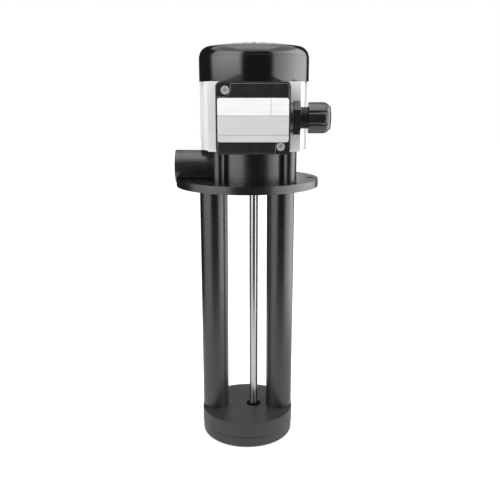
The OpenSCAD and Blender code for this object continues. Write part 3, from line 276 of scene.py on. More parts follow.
def plastic(name, colour, rough, grain, grain_scale=2600.0, wear=0.12, ior=1.8, scratches=0.0):
    """Moulded plastic: faint cloudiness, a fine moulded grain and a few light scratches."""
    made = Finish(name)
    shade = made.shades(made.ramp(made.noise(34.0), 0.3, 0.7), colour, 1.0 - wear, 1.0 + wear)
    roughness = made.ramp(made.noise(120.0, 6.0), 0.3, 0.7, rough * 0.85, rough * 1.15)
    if scratches:
        lines = made.noise(60.0, 2.0, stretch=(30.0, 30.0, 1.0), turn=(0.35, 0.2, 0.0))
        mark = made.ramp(lines, 0.70, 0.78, 0.0, scratches)
        shade = made.blend(mark, shade, rgba(colour, 6.0))
        roughness = made.maths("ADD", roughness, mark, clamp=True)
    made.put("Base Color", shade)
    made.put("Roughness", roughness)
    made.put("IOR", ior)
    made.bump(made.noise(grain_scale, 3.0), grain, 0.06 * MM)
    return made


def metal(
    name, colour, rough, stretch=(1.0, 1.0, 1.0), grain=0.15, grain_scale=900.0, wear=0.06, metallic=1.0
):
    """Machined, drawn or cast metal, with its grain drawn out along the stretch."""
    made = Finish(name)
    lines = made.noise(grain_scale, 5.0, stretch=stretch)
    clouds = made.noise(45.0)
    mix = made.maths("ADD", made.maths("MULTIPLY", lines, 0.6), made.maths("MULTIPLY", clouds, 0.4))
    made.put("Base Color", made.shades(made.ramp(mix, 0.35, 0.65), colour, 1.0 - wear, 1.0 + wear))
    made.put("Metallic", metallic)
    made.put("Roughness", made.ramp(mix, 0.3, 0.7, rough * 0.85, rough * 1.15))
    made.bump(lines, grain, 0.04 * MM)
    return made


def fan_cover_finish(look):
    """Glossy black plastic with faint dust and hairline scratches."""
    return plastic("cap_gloss", look.cap_colour, 0.13, 0.03, 1500.0, scratches=0.08)


def body_finish(look):
    """Semi-gloss black plastic that turns lighter and duller towards the bottom of the columns, in patches.
    """
    made = plastic("moulded_body", look.body_colour, 0.28, 0.1, scratches=0.06)
    height = made.add("ShaderNodeSeparateXYZ", {"Vector": made.place}).outputs["Z"]
    # Lighter colour and more roughness lower down, in patches: from 20 mm below the top, fully at 200 mm
    shift_starts, shift_full = -20.0 * MM, -200.0 * MM
    patches = made.ramp(made.noise(25.0), 0.2, 0.7, 0.6, 1.0)
    lower_shift = made.maths("MULTIPLY", made.ramp(height, shift_starts, shift_full), patches)
    base = made.shader.inputs["Base Color"].links[0].from_socket
    rough = made.shader.inputs["Roughness"].links[0].from_socket
    made.put("Base Color", made.blend(lower_shift, base, rgba(look.body_colour, 1.4)))
    made.put("Roughness", made.maths("ADD", rough, made.maths("MULTIPLY", lower_shift, 0.08), clamp=True))
    return made


def nameplate_finish(look):
    """Bare printed plate: a pale upper band over a light grey field, with thin rules between the fields."""
    made = Finish("plate_metal")
    axes = made.add("ShaderNodeSeparateXYZ", {"Vector": made.place}).outputs
    lo, hi = PLATE_LO, PLATE_HI
    across, up = hi.x - lo.x, hi.z - lo.z
    upper_rule, lower_rule, upright = hi.z - 0.40 * up, hi.z - 0.84 * up, lo.x + 0.75 * across
    thick, thin, plate_skin = 0.18 * MM, 0.15 * MM, 0.2 * MM

    def stripe(axis, at, reach):
        """1 within this reach of a place along an axis, and 0 elsewhere."""
        near = made.maths("ABSOLUTE", made.maths("SUBTRACT", axis, at))
        return made.maths("LESS_THAN", near, reach)

    rules = made.maths("MAXIMUM", stripe(axes["Z"], upper_rule, thick), stripe(axes["Z"], lower_rule, thin))
    above = made.maths("GREATER_THAN", axes["Z"], upper_rule)
    side = made.maths("MULTIPLY", stripe(axes["X"], upright, thin), above)
    front = made.maths("LESS_THAN", axes["Y"], lo.y + plate_skin)
    lines = made.maths("MULTIPLY", made.maths("MAXIMUM", rules, side), front)
    brushed = made.noise(700.0, 4.0, stretch=(0.04, 1.0, 1.0))
    streaks = made.ramp(brushed, 0.3, 0.7)
    pale = made.shades(streaks, look.plate_colour, 1.14, 1.22)
    field = made.shades(streaks, look.plate_colour, 0.80, 0.86)
    face = made.blend(above, field, pale)
    made.put("Base Color", made.blend(lines, face, rgba((0.22, 0.22, 0.23))))
    made.put("Metallic", 0.25)
    made.put("Roughness", made.ramp(brushed, 0.3, 0.7, 0.34, 0.46))
    made.bump(brushed, 0.08, 0.03 * MM)
    return made


def winding_finish():
    """Enamelled copper wire, with a thin coat of varnish."""
    made = metal("winding_copper", (0.55, 0.23, 0.10), 0.3, grain=0.1, wear=0.25)
    made.put("Coat Weight", 0.6)
    made.put("Coat Roughness", 0.2)
    return made


def laminated_finish():
    """Stack of thin steel sheets: fine lines round the core."""
    made = metal("lamination_steel", (0.30, 0.31, 0.33), 0.45, wear=0.2)
    height = made.add("ShaderNodeSeparateXYZ", {"Vector": made.place}).outputs["Z"]
    sheet = 0.5 * MM
    sheets = made.maths("PINGPONG", height, sheet)
    made.bump(sheets, 0.6, 0.5)
    return made


def finishes(look):
    """Every material of the pump by the record's material slot."""
    return {
        "moulded_body": body_finish(look),
        "moulded_base": plastic("moulded_base", look.base_colour, 0.5, 0.3, 2200.0, 0.1, 1.6, 0.04),
        "cap_gloss": fan_cover_finish(look),
        "box_plastic": plastic("box_plastic", look.box_colour, 0.3, 0.2, 2400.0, 0.08, 2.0),
        "gland_plastic": plastic("gland_plastic", look.box_colour, 0.25, 0.12),
        "housing_aluminium": metal(
            "housing_aluminium", look.housing_colour, 0.6, (1.0, 1.0, 0.012), 0.12, 1400.0, 0.03, 0.2
        ),
        "cast_aluminium": metal(
            "cast_aluminium", (0.62, 0.63, 0.63), 0.5, grain=0.5, grain_scale=700.0, wear=0.1
        ),
        "shaft_steel": metal("shaft_steel", (0.60, 0.60, 0.61), 0.22, (1.0, 1.0, 22.0), 0.1, 260.0, 0.03),
        "screw_steel": metal("screw_steel", (0.76, 0.76, 0.75), 0.36, grain=0.1, metallic=0.75),
        "bearing_steel": metal("bearing_steel", (0.66, 0.67, 0.69), 0.16, grain=0.05),
        "lamination_steel": laminated_finish(),
        "winding_copper": winding_finish(),
        "seal_rubber": plastic("seal_rubber", (0.012, 0.012, 0.012), 0.62, 0.25, 1800.0),
        "impeller_brass": metal("impeller_brass", (0.58, 0.42, 0.18), 0.33, grain=0.2, wear=0.12),
        "terminal_brass": metal("terminal_brass", (0.72, 0.55, 0.24), 0.25, grain=0.1),
        "block_plastic": plastic("block_plastic", (0.62, 0.58, 0.48), 0.45, 0.15, wear=0.05),
        "lead_insulation": plastic("lead_insulation", (0.38, 0.04, 0.03), 0.4, 0.08, wear=0.06),
        "plate_metal": nameplate_finish(look),
    }


MADE_FINISHES = {}


def finish_of(slot):
    """The material of a slot, made when it is first asked for."""
    if not MADE_FINISHES:
        MADE_FINISHES.update(finishes(bpy.context.scene.pump_finish))
    return MADE_FINISHES[slot].material


def link(name, mesh):
    """New object in the scene with this mesh."""
    made = bpy.data.objects.new(name, mesh)
    bpy.context.scene.collection.objects.link(made)
    return made


def stand_for(piece, node):
    """The piece rides with this CAD node and is shown in its place."""
    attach(piece, NODES[node]["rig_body"])
    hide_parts(node)
    return piece


def shade_smooth(mesh):
    """Shades every face smoothly."""
    mesh.polygons.foreach_set("use_smooth", [True] * len(mesh.polygons))


def round_edges(piece, width, angle=SHARP_EDGE):
    """Rounds the piece's sharp edges and shades what is between them smoothly."""
    shade_smooth(piece.data)
    piece.data.set_sharp_from_angle(angle=math.radians(angle))
    bevel = piece.modifiers.new("Edges", "BEVEL")
    bevel.width = width
    bevel.segments = 2
    bevel.limit_method = "ANGLE"
    bevel.angle_limit = math.radians(angle)
    bevel.use_clamp_overlap = True
    bevel.harden_normals = True
    bevel.miter_outer = "MITER_ARC"
    return piece


def merged_copy(node):
    """Mesh of a CAD node with its loose triangles joined and its flat faces made whole."""
    mesh = NODES[node].data.copy()
    work = bmesh.new()
    work.from_mesh(mesh)
    bmesh.ops.remove_doubles(work, verts=work.verts, dist=SAME_POINT)
    bmesh.ops.dissolve_limit(work, angle_limit=math.radians(FLAT_FACE), verts=work.verts, edges=work.edges)
    work.to_mesh(mesh)
    work.free()
    for layer in list(mesh.attributes):
        if layer.name == "custom_normal":
            mesh.attributes.remove(layer)
    return mesh


def dressed(node, slot, edge, angle=SHARP_EDGE):
    """A finished piece made over a CAD node: its own shape, with rounded edges and a material."""
    piece = link(f"{node}_finished", merged_copy(node))
    piece.data.materials.clear()
    piece.data.materials.append(finish_of(slot))
    round_edges(piece, edge, angle)
    return stand_for(piece, node)


def dress_all(slot, edge, *nodes, angle=SHARP_EDGE):
    """Finished pieces over several CAD nodes that share a material."""
    for node in nodes:
        dressed(node, slot, edge, angle)


def chamfer_front(piece, width, small):
    """Gives the sharp edges of the piece's front face a wider rounding than its other edges."""
    mesh, front_depth = piece.data, 0.05 * MM
    front = min(v.co.y for v in mesh.vertices) + front_depth
    work = bmesh.new()
    work.from_mesh(mesh)
    weight = work.edges.layers.float.new("bevel_weight_edge")
    for edge in work.edges:
        outward = len(edge.link_faces) == 2 and edge.is_convex
        if outward and edge.calc_face_angle() > math.radians(SHARP_EDGE):
            edge[weight] = 1.0 if all(v.co.y < front for v in edge.verts) else small / width
    work.to_mesh(mesh)
    work.free()
    piece.modifiers["Edges"].limit_method = "WEIGHT"
    piece.modifiers["Edges"].width = width
    return piece


def turned_mesh(name, profile, axis_at, steps=160):
    """Closed solid of revolution round a vertical axis, from a closed profile of radius and height pairs."""
    mesh = bpy.data.meshes.new(name)
    work = bmesh.new()
    rings = []
    for radius, height in profile:
        if radius < 1e-9:
            rings.append([work.verts.new((axis_at.x, axis_at.y, height))] * steps)
            continue
        turns = [2 * math.pi * i / steps for i in range(steps)]
        ring = [(axis_at.x + radius * math.cos(t), axis_at.y + radius * math.sin(t), height) for t in turns]
        rings.append([work.verts.new(p) for p in ring])
    for a, b in zip(rings, rings[1:] + rings[:1]):
        if a[0] is a[1] and b[0] is b[1]:
            continue
        for i in range(steps):
            k = (i + 1) % steps
            corners = [a[i], a[k], b[k], b[i]]
            work.faces.new([v for j, v in enumerate(corners) if v not in corners[:j]])
    bmesh.ops.recalc_face_normals(work, faces=work.faces)
    work.to_mesh(mesh)
    work.free()
    return mesh


def arc(centre, radius, start, end, steps):
    """Points on a quarter or part of a circle, with angles in degrees."""
    angles = [math.radians(start + (end - start) * i / steps) for i in range(steps + 1)]
    return [(centre[0] + radius * math.cos(a), centre[1] + radius * math.sin(a)) for a in angles]


class Builder(Graph):
    """A Geometry Nodes tree with named inputs, which ends in Realize Instances and Set Material."""

    def __init__(self, name, inputs):
        super().__init__(bpy.data.node_groups.new(name, "GeometryNodeTree"))
        self.tree.is_modifier = True
        face = self.tree.interface
        face.new_socket("Geometry", in_out="INPUT", socket_type="NodeSocketGeometry")
        self.ids = {}
        for label, kind, default in inputs + [("Material", "Material", None)]:
            socket = face.new_socket(label, in_out="INPUT", socket_type=f"NodeSocket{kind}")
            if default is not None:
                socket.default_value = default
            self.ids[label] = socket.identifier
        face.new_socket("Geometry", in_out="OUTPUT", socket_type="NodeSocketGeometry")
        self.given = self.add("NodeGroupInput").outputs

    def vector(self, x=0.0, y=0.0, z=0.0):
        """Vector from values or outputs."""
        return self.add("ShaderNodeCombineXYZ", {0: x, 1: y, 2: z}).outputs[0]

    def rod(self, radius, length, sides, at=(0.0, 0.0, 0.0)):
        """Cylinder along Z whose centre is at a place."""
        sockets = {"Vertices": sides, "Radius": radius, "Depth": length}
        return self.moved(self.add("GeometryNodeMeshCylinder", sockets).outputs["Mesh"], at)

    def block(self, size, at):
        """Box whose centre is at a place."""
        return self.moved(self.add("GeometryNodeMeshCube", {"Size": size}).outputs["Mesh"], at)

    def moved(self, geometry, at, turn=(0.0, 0.0, 0.0)):
        """Geometry turned and moved."""
        sockets = {"Geometry": geometry, "Translation": at, "Rotation": turn}
        return self.add("GeometryNodeTransform", sockets).outputs[0]

    def joined(self, *parts):
        """Several geometries as one."""
        join = self.add("GeometryNodeJoinGeometry")
        for part in reversed(parts):
            self.link(part, join.inputs[0])
        return join.outputs[0]

    def cut(self, body, *tools, operation="DIFFERENCE"):
        """Body with the tools cut out of it, or joined to it."""
        made = self.add("GeometryNodeMeshBoolean", operation=operation, solver="EXACT")
        if operation == "DIFFERENCE":
            self.link(body, made.inputs[0])
            for tool in tools:
                self.link(tool, made.inputs[1])
        else:
            for part in (body, *tools):
                self.link(part, made.inputs[1])
        return made.outputs[0]

    def around(self, part, count):
        """Copies of a part in a ring round the Z axis."""
        points = self.add("GeometryNodeMeshLine", {"Count": count, "Offset": (0.0, 0.0, 0.0)})
        index = self.add("GeometryNodeInputIndex").outputs[0]
        angle = self.maths("DIVIDE", self.maths("MULTIPLY", index, 2 * math.pi), count)
        sockets = {"Points": points.outputs[0], "Instance": part, "Rotation": self.vector(z=angle)}
        return self.add("GeometryNodeInstanceOnPoints", sockets).outputs[0]

    def close(self, geometry):
        """Ends the tree with real meshes that have the material."""
        real = self.add("GeometryNodeRealizeInstances", {0: geometry}).outputs[0]
        done = self.add("GeometryNodeSetMaterial", {"Geometry": real, "Material": self.given["Material"]})
        self.link(done.outputs[0], self.add("NodeGroupOutput").inputs[0])
        return self

    def build(self, name, mesh, slot, values):
        """Runs the tree on a mesh and gives the result as an object with a plain mesh."""
        made = link(name, mesh)
        modifier = made.modifiers.new("Build", "NODES")
        modifier.node_group = self.tree
        for label, value in {**values, "Material": finish_of(slot)}.items():
            modifier[self.ids[label]] = value
        bpy.context.view_layer.update()
        result = bpy.data.meshes.new_from_object(made.evaluated_get(bpy.context.evaluated_depsgraph_get()))
        if not result.polygons:
            raise RuntimeError(f"{name}: the tree {self.tree.name} made no faces")
        made.modifiers.clear()
        made.data = result
        return made


def points_mesh(name, points):
    """Mesh that holds only these points."""
    mesh = bpy.data.meshes.new(name)
    mesh.from_pydata([tuple(p) for p in points], [], [])
    return mesh


def screw_tree():
    """Screws with a round or six-sided head and, if asked for, a cross recess, one on each point."""
    tree = Builder(
        "Pump screws",
        [
            ("Head radius", "Float", 0.003),
            ("Head height", "Float", 0.002),
            ("Head sides", "Int", 48),
            ("Shank radius", "Float", 0.0015),
            ("Shank length", "Float", 0.006),
            ("Recess length", "Float", 0.004),
            ("Recess width", "Float", 0.0009),
            ("Recess depth", "Float", 0.0012),
            ("Cross recess", "Bool", True),
            ("Direction", "Vector", (0.0, 0.0, 1.0)),
        ],
    )
    given = tree.given
    centre = tree.vector(z=tree.half(given["Head height"]))
    head = tree.rod(given["Head radius"], given["Head height"], given["Head sides"], centre)
    deep = tree.maths("MULTIPLY", given["Recess depth"], 2.0)
    top = tree.vector(z=given["Head height"])
    slot = tree.block(tree.vector(given["Recess length"], given["Recess width"], deep), top)
    cross = tree.block(tree.vector(given["Recess width"], given["Recess length"], deep), top)
    star = tree.cut(slot, cross, operation="UNION")
    recessed = tree.cut(head, star)
    sockets = {"Switch": given["Cross recess"], "False": head, "True": recessed}
    chosen = tree.add("GeometryNodeSwitch", sockets, input_type="GEOMETRY").outputs[0]
    down = tree.maths("MULTIPLY", given["Shank length"], -0.5)
    shank = tree.rod(given["Shank radius"], given["Shank length"], 32, tree.vector(z=down))
    rotation = tree.add("FunctionNodeAlignRotationToVector", {"Vector": given["Direction"]}, axis="Z")
    screw = tree.joined(chosen, shank)
    sockets = {"Points": given["Geometry"], "Instance": screw, "Rotation": rotation.outputs[0]}
    return tree.close(tree.add("GeometryNodeInstanceOnPoints", sockets).outputs[0])


def shells_of(node):
    """Lowest and highest corner of each separate solid in a CAD node."""
    work = bmesh.new()
    work.from_mesh(NODES[node].data)
    bmesh.ops.remove_doubles(work, verts=work.verts, dist=SAME_POINT)
    left, boxes = set(work.verts), []
    while left:
        found, todo = set(), [left.pop()]
        while todo:
            vert = todo.pop()
            found.add(vert)
            near = [edge.other_vert(vert) for edge in vert.link_edges]
            fresh = [v for v in near if v in left]
            left.difference_update(fresh)
            todo.extend(fresh)
        places = [v.co for v in found]
        lo = Vector([min(p[i] for p in places) for i in range(3)])
        hi = Vector([max(p[i] for p in places) for i in range(3)])
        boxes.append((lo, hi))
    work.free()
    return sorted(boxes, key=lambda b: tuple(b[0]))


def screws(tree, node, slot, direction, values):
    """Finished screws for a CAD node, each on its own solid's axis, with the head towards a direction."""
    way = Vector(direction)
    axis = max(range(3), key=lambda i: abs(way[i]))
    seats, length = [], 0.0
    for lo, hi in shells_of(node):
        seat = (lo + hi) / 2
        tip = hi[axis] if way[axis] > 0 else lo[axis]
        seat[axis] = tip - math.copysign(values["Head height"], way[axis])
        seats.append(seat)
        length = hi[axis] - lo[axis] - values["Head height"]
    every = {"Direction": way, "Shank length": length, **values}
    piece = tree.build(f"{node}_finished", points_mesh(node, seats), slot, every)
    round_edges(piece, bpy.context.scene.pump_finish.small_edge, STEPPED_EDGE)
    return stand_for(piece, node)


def vent_tree():
    """Round-ended air slots cut through a cover, in a ring round its axis."""
    tree = Builder(
        "Pump air slots",
        [
            ("Count", "Int", 24),
            ("Width", "Float", 0.0024),
            ("Start", "Float", 0.014),
            ("End", "Float", 0.036),
            ("Height", "Float", 0.12),
            ("Depth", "Float", 0.02),
            ("Axis", "Vector", (0.0, 0.0, 0.0)),
        ],
    )
    given = tree.given
    length = tree.maths("SUBTRACT", given["End"], given["Start"])
    place = tree.vector(tree.middle(given["End"], given["Start"]), 0.0, given["Height"])
    bar = tree.block(tree.vector(length, given["Width"], given["Depth"]), place)
    ring = tree.around(bar, given["Count"])
    tools = tree.moved(tree.add("GeometryNodeRealizeInstances", {0: ring}).outputs[0], given["Axis"])
    return tree.close(tree.cut(given["Geometry"], tools))


def ball_tree():
    """Row of bearing balls with a ribbon cage through them."""
    tree = Builder(
        "Pump bearing balls",
        [
            ("Count", "Int", 7),
            ("Ball radius", "Float", 0.0016),
            ("Row radius", "Float", 0.0075),
            ("Cage radius", "Float", 0.0004),
            ("Place", "Vector", (0.0, 0.0, 0.0)),
        ],
    )
    given = tree.given
    ball = tree.add("GeometryNodeMeshUVSphere", {"Segments": 32, "Rings": 16, "Radius": given["Ball radius"]})
    round_ball = tree.add("GeometryNodeSetShadeSmooth", {0: ball.outputs[0]}).outputs[0]
    row = tree.around(tree.moved(round_ball, tree.vector(given["Row radius"])), given["Count"])
    path = tree.add("GeometryNodeCurvePrimitiveCircle", {"Resolution": 96, "Radius": given["Row radius"]})
    wire = tree.add("GeometryNodeCurvePrimitiveCircle", {"Resolution": 12, "Radius": given["Cage radius"]})
    cage = tree.add("GeometryNodeCurveToMesh", {"Curve": path.outputs[0], "Profile Curve": wire.outputs[0]})
    return tree.close(tree.moved(tree.joined(row, cage.outputs[0]), given["Place"]))


def blade_tree():
    """Disc with a hub and straight blades under or over it, set off from the radius."""
    tree = Builder(
        "Pump bladed disc",
        [
            ("Count", "Int", 9),
            ("Disc radius", "Float", 0.042),
            ("Disc thickness", "Float", 0.0016),
            ("Hub radius", "Float", 0.008),
            ("Hub height", "Float", 0.0105),
            ("Bore radius", "Float", 0.004),
            ("Blade thickness", "Float", 0.0018),
            ("Blade height", "Float", 0.009),
            ("Blade offset", "Float", 0.0),
            ("Blade start", "Float", 0.007),
            ("Blade end", "Float", 0.0416),
            ("Place", "Vector", (0.0, 0.0, 0.0)),
        ],
    )
    given = tree.given
    sunk = tree.half(given["Disc thickness"])
    disc = tree.rod(given["Disc radius"], given["Disc thickness"], 128, tree.vector(z=sunk))
    hub_at = tree.vector(z=tree.half(given["Hub height"]))
    hub = tree.rod(given["Hub radius"], given["Hub height"], 64, hub_at)
    length = tree.maths("SUBTRACT", given["Blade end"], given["Blade start"])
    middle = tree.middle(given["Blade end"], given["Blade start"])
    tall = tree.maths("ADD", given["Blade height"], sunk)
    up = tree.maths("ADD", sunk, tree.half(tall))
    blade = tree.block(
        tree.vector(length, given["Blade thickness"], tall), tree.vector(middle, given["Blade offset"], up)
    )
    blades = tree.add("GeometryNodeRealizeInstances", {0: tree.around(blade, given["Count"])}).outputs[0]
    bore = tree.rod(given["Bore radius"], tree.maths("MULTIPLY", given["Hub height"], 4.0), 64)
    solid = tree.cut(tree.cut(disc, hub, blades, operation="UNION"), bore)
    return tree.close(tree.moved(solid, given["Place"]))


def wire_tree():
    """Bundle of wires laid round the stator, as rings over a round-cornered section."""
    tree = Builder(
        "Pump end turn",
        [
            ("Across", "Int", 9),
            ("Up", "Int", 6),
            ("Inner radius", "Float", 0.0225),
            ("Outer radius", "Float", 0.0305),
            ("Height", "Float", 0.0047),
            ("Wire radius", "Float", 0.0004),
            ("Place", "Vector", (0.0, 0.0, 0.0)),
        ],
    )
    given = tree.given
    wide = tree.maths("SUBTRACT", given["Outer radius"], given["Inner radius"])
    middle = tree.middle(given["Outer radius"], given["Inner radius"])
    sockets = {
        "Size X": wide,
        "Size Y": given["Height"],
        "Vertices X": given["Across"],
        "Vertices Y": given["Up"],
    }
    grid = tree.add("GeometryNodeMeshGrid", sockets).outputs[0]
    place = tree.add("ShaderNodeSeparateXYZ", {0: tree.add("GeometryNodeInputPosition").outputs[0]}).outputs
    radius = tree.maths("ADD", place["X"], middle)
    ring = tree.add("GeometryNodeCurvePrimitiveCircle", {"Resolution": 72, "Radius": 1.0}).outputs[0]
    stored = tree.add("GeometryNodeCaptureAttribute", {"Geometry": grid})
    stored.capture_items.new("FLOAT", "Ring radius")
    tree.link(radius, stored.inputs["Ring radius"])
    sockets = {"Geometry": stored.outputs["Geometry"], "Position": tree.vector(z=place["Y"])}
    flat = tree.add("GeometryNodeSetPosition", sockets)
    size = stored.outputs["Ring radius"]
    sockets = {"Points": flat.outputs[0], "Instance": ring, "Scale": tree.vector(size, size, 1.0)}
    rings = tree.add("GeometryNodeInstanceOnPoints", sockets).outputs[0]
    real = tree.add("GeometryNodeRealizeInstances", {0: rings}).outputs[0]
    wire = tree.add("GeometryNodeCurvePrimitiveCircle", {"Resolution": 6, "Radius": given["Wire radius"]})
    swept = tree.add("GeometryNodeCurveToMesh", {"Curve": real, "Profile Curve": wire.outputs[0]}).outputs[0]
    return tree.close(tree.moved(swept, given["Place"]))


def gland_tree():
    """Gland body along X: stem, hexagon and neck with a helical thread round it."""
    tree = Builder(
        "Pump gland body",
        [
            ("Stem radius", "Float", 0.01),
            ("Stem length", "Float", 0.0086),
            ("Hexagon radius", "Float", 0.01386),
            ("Hexagon length", "Float", 0.0059),
            ("Neck radius", "Float", 0.0092),
            ("Neck length", "Float", 0.0129),
            ("Bore radius", "Float", 0.007),
            ("Thread pitch", "Float", 0.0015),
            ("Thread depth", "Float", 0.0007),
            ("Place", "Vector", (0.0, 0.0, 0.0)),
        ],
    )
    given = tree.given
    overlap = 1.0 * MM
    hexagon_at = tree.vector(z=tree.half(given["Hexagon length"]))
    hexagon = tree.rod(given["Hexagon radius"], given["Hexagon length"], 6, hexagon_at)
    stem_long = tree.maths("ADD", given["Stem length"], overlap)
    stem_at = tree.maths("SUBTRACT", overlap, tree.half(stem_long))
    stem = tree.rod(given["Stem radius"], stem_long, 96, tree.vector(z=stem_at))
    core_r = tree.maths("SUBTRACT", given["Neck radius"], given["Thread depth"])
    core_long = tree.maths("ADD", given["Neck length"], overlap)
    core_foot = tree.maths("SUBTRACT", given["Hexagon length"], overlap)
    core_at = tree.maths("ADD", core_foot, tree.half(core_long))
    core = tree.rod(core_r, core_long, 96, tree.vector(z=core_at))
    bore = tree.rod(given["Bore radius"], 80.0 * MM, 96)
    body = tree.cut(tree.cut(hexagon, stem, core, operation="UNION"), bore)
    runout = tree.maths("MULTIPLY", given["Thread pitch"], 1.2)
    rise = tree.maths("SUBTRACT", given["Neck length"], runout)
    sockets = {
        "Resolution": 48,
        "Rotations": tree.maths("DIVIDE", rise, given["Thread pitch"]),
        "Start Radius": core_r,
        "End Radius": core_r,
        "Height": rise,
    }
    helix = tree.add("GeometryNodeCurveSpiral", sockets).outputs[0]
    upright = tree.add("GeometryNodeSetCurveNormal", {0: helix}, mode="Z_UP").outputs[0]
    crest = tree.add("GeometryNodeCurvePrimitiveCircle", {"Resolution": 4, "Radius": given["Thread depth"]})
    sockets = {"Curve": upright, "Profile Curve": crest.outputs[0], "Fill Caps": True}
    ridge = tree.add("GeometryNodeCurveToMesh", sockets).outputs[0]
    lift = tree.maths("ADD", given["Hexagon length"], tree.half(runout))
    thread = tree.moved(ridge, tree.vector(z=lift))
    return tree.close(tree.moved(tree.joined(body, thread), given["Place"], (0.0, math.pi / 2, 0.0)))


class PUMP_OT_moulded_body(bpy.types.Operator):
    """Builds the pump head with its outlet and flange, and the column body"""

    bl_idname = "coolant_pump.moulded_body"
    bl_label = "Pump head and columns"

    def execute(self, context):
        edge = context.scene.pump_finish.moulded_edge
        dress_all("moulded_body", edge, "pump_head", "column_body")
        return {"FINISHED"}


class PUMP_OT_pump_end(bpy.types.Operator):
    """Builds the volute casing, the suction cover and what turns and seals in them"""

    bl_idname = "coolant_pump.pump_end"
    bl_label = "Pump casing and impeller"

    def execute(self, context):
        look = context.scene.pump_finish
        edge = look.small_edge
        dress_all("moulded_base", look.moulded_edge, "volute_casing", "suction_cover")
        dress_all("seal_rubber", edge, "pipe_seal", "volute_seal", angle=RING_EDGE)
        dressed("impeller", "impeller_brass", edge)
        held = ("impeller_key", "impeller_washer", "impeller_nut", "impeller_stop_ring")
        dress_all("screw_steel", edge, *held)
        return {"FINISHED"}


class PUMP_OT_housing(bpy.types.Operator):
    """Builds the fluted motor housing and both end shields"""

    bl_idname = "coolant_pump.housing"
    bl_label = "Motor housing"

    def execute(self, context):
        edge = context.scene.pump_finish.metal_edge
        dressed("motor_housing", "housing_aluminium", edge)
        dress_all("cast_aluminium", edge, "lower_end_shield", "upper_end_shield")
        return {"FINISHED"}


def cover_profile():
    """Closed profile of the fan cover's wall: out and up the skin, over the dome, and back inside."""
    foot, top = COVER_LO.z, COVER_HI.z
    radius = (COVER_HI.x - COVER_LO.x) / 2
    wall, crown, shoulder, inset = 2.2 * MM, 3.0 * MM, 9.5 * MM, 0.3 * MM
    skirt, step, lip = 21.5 * MM, 0.2 * MM, 0.35 * MM
    edge_z = foot + skirt

    def skin(shrink):
        """Points up the wall and over the dome, this far inside the cover's outer face."""
        side = radius - shrink
        bend = shoulder - shrink
        crown_r = ((side - bend) ** 2 + crown**2) / (2 * crown)
        middle = (side - inset - bend, top - shrink - crown - bend)
        reach = side - inset - bend
        start = math.degrees(math.asin(reach / crown_r))
        dome = arc((0.0, top - shrink - crown_r), crown_r, 90.0 - start, 90.0, 14)
        straight = [(side, foot), (side, edge_z - step), (side - inset, edge_z)]
        return [*straight, *arc(middle, bend, 0.0, 84.0, 14), *dome]

    outer, inner = skin(0.0), skin(wall)
    soft = 0.1 * MM
    outer[0:1] = [(radius - lip, foot), (radius - soft, foot + soft), (radius, foot + lip)]
    outer[-1] = (0.0, outer[-1][1])
    inner[-1] = (0.0, inner[-1][1])
    return outer + list(reversed(inner))


class PUMP_OT_fan_cover(bpy.types.Operator):
    """Builds the domed fan cover with its ring of air slots, and its two screws"""

    bl_idname = "coolant_pump.fan_cover"
    bl_label = "Fan cover"

    def execute(self, context):
        sizes, look = context.scene.pump_sizes, context.scene.pump_finish
        shell = turned_mesh("fan_cover_shell", cover_profile(), SHAFT_AXIS, 192)
        values = {
            "Count": sizes.vent_count,
            "Width": sizes.vent_width,
            "Start": sizes.vent_inner,
            "End": sizes.vent_outer,
            "Height": COVER_HI.z,
            "Depth": 24.0 * MM,
            "Axis": SHAFT_AXIS,
        }
        piece = vent_tree().build("fan_cover_finished", shell, "cap_gloss", values)
        slot_edge = 38.0
        round_edges(piece, look.metal_edge, slot_edge)
        stand_for(piece, "fan_cover")
        dressed("fan_cover_screws", "screw_steel", look.small_edge)
        return {"FINISHED"}


class PUMP_OT_fan(bpy.types.Operator):
    """Builds the cooling fan and the clip that holds it"""

    bl_idname = "coolant_pump.fan"
    bl_label = "Cooling fan"

    def execute(self, context):
        look = context.scene.pump_finish
        lo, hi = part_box("cooling_fan")
        radius, height, disc = (hi.x - lo.x) / 2, hi.z - lo.z, 1.6 * MM
        values = {
            "Count": context.scene.pump_sizes.fan_blades,
            "Disc radius": radius,
            "Disc thickness": disc,
            "Hub height": height,
            "Bore radius": 4.03 * MM,
            "Blade height": height - disc,
            "Blade end": radius - 0.4 * MM,
            "Place": SHAFT_AXIS + Vector((0.0, 0.0, lo.z)),
        }
        hub_point = points_mesh("fan", [SHAFT_AXIS])
        piece = blade_tree().build("cooling_fan_finished", hub_point, "moulded_body", values)
        round_edges(piece, look.small_edge, STEPPED_EDGE)
        stand_for(piece, "cooling_fan")
        dressed("fan_clip", "screw_steel", look.small_edge)
        return {"FINISHED"}


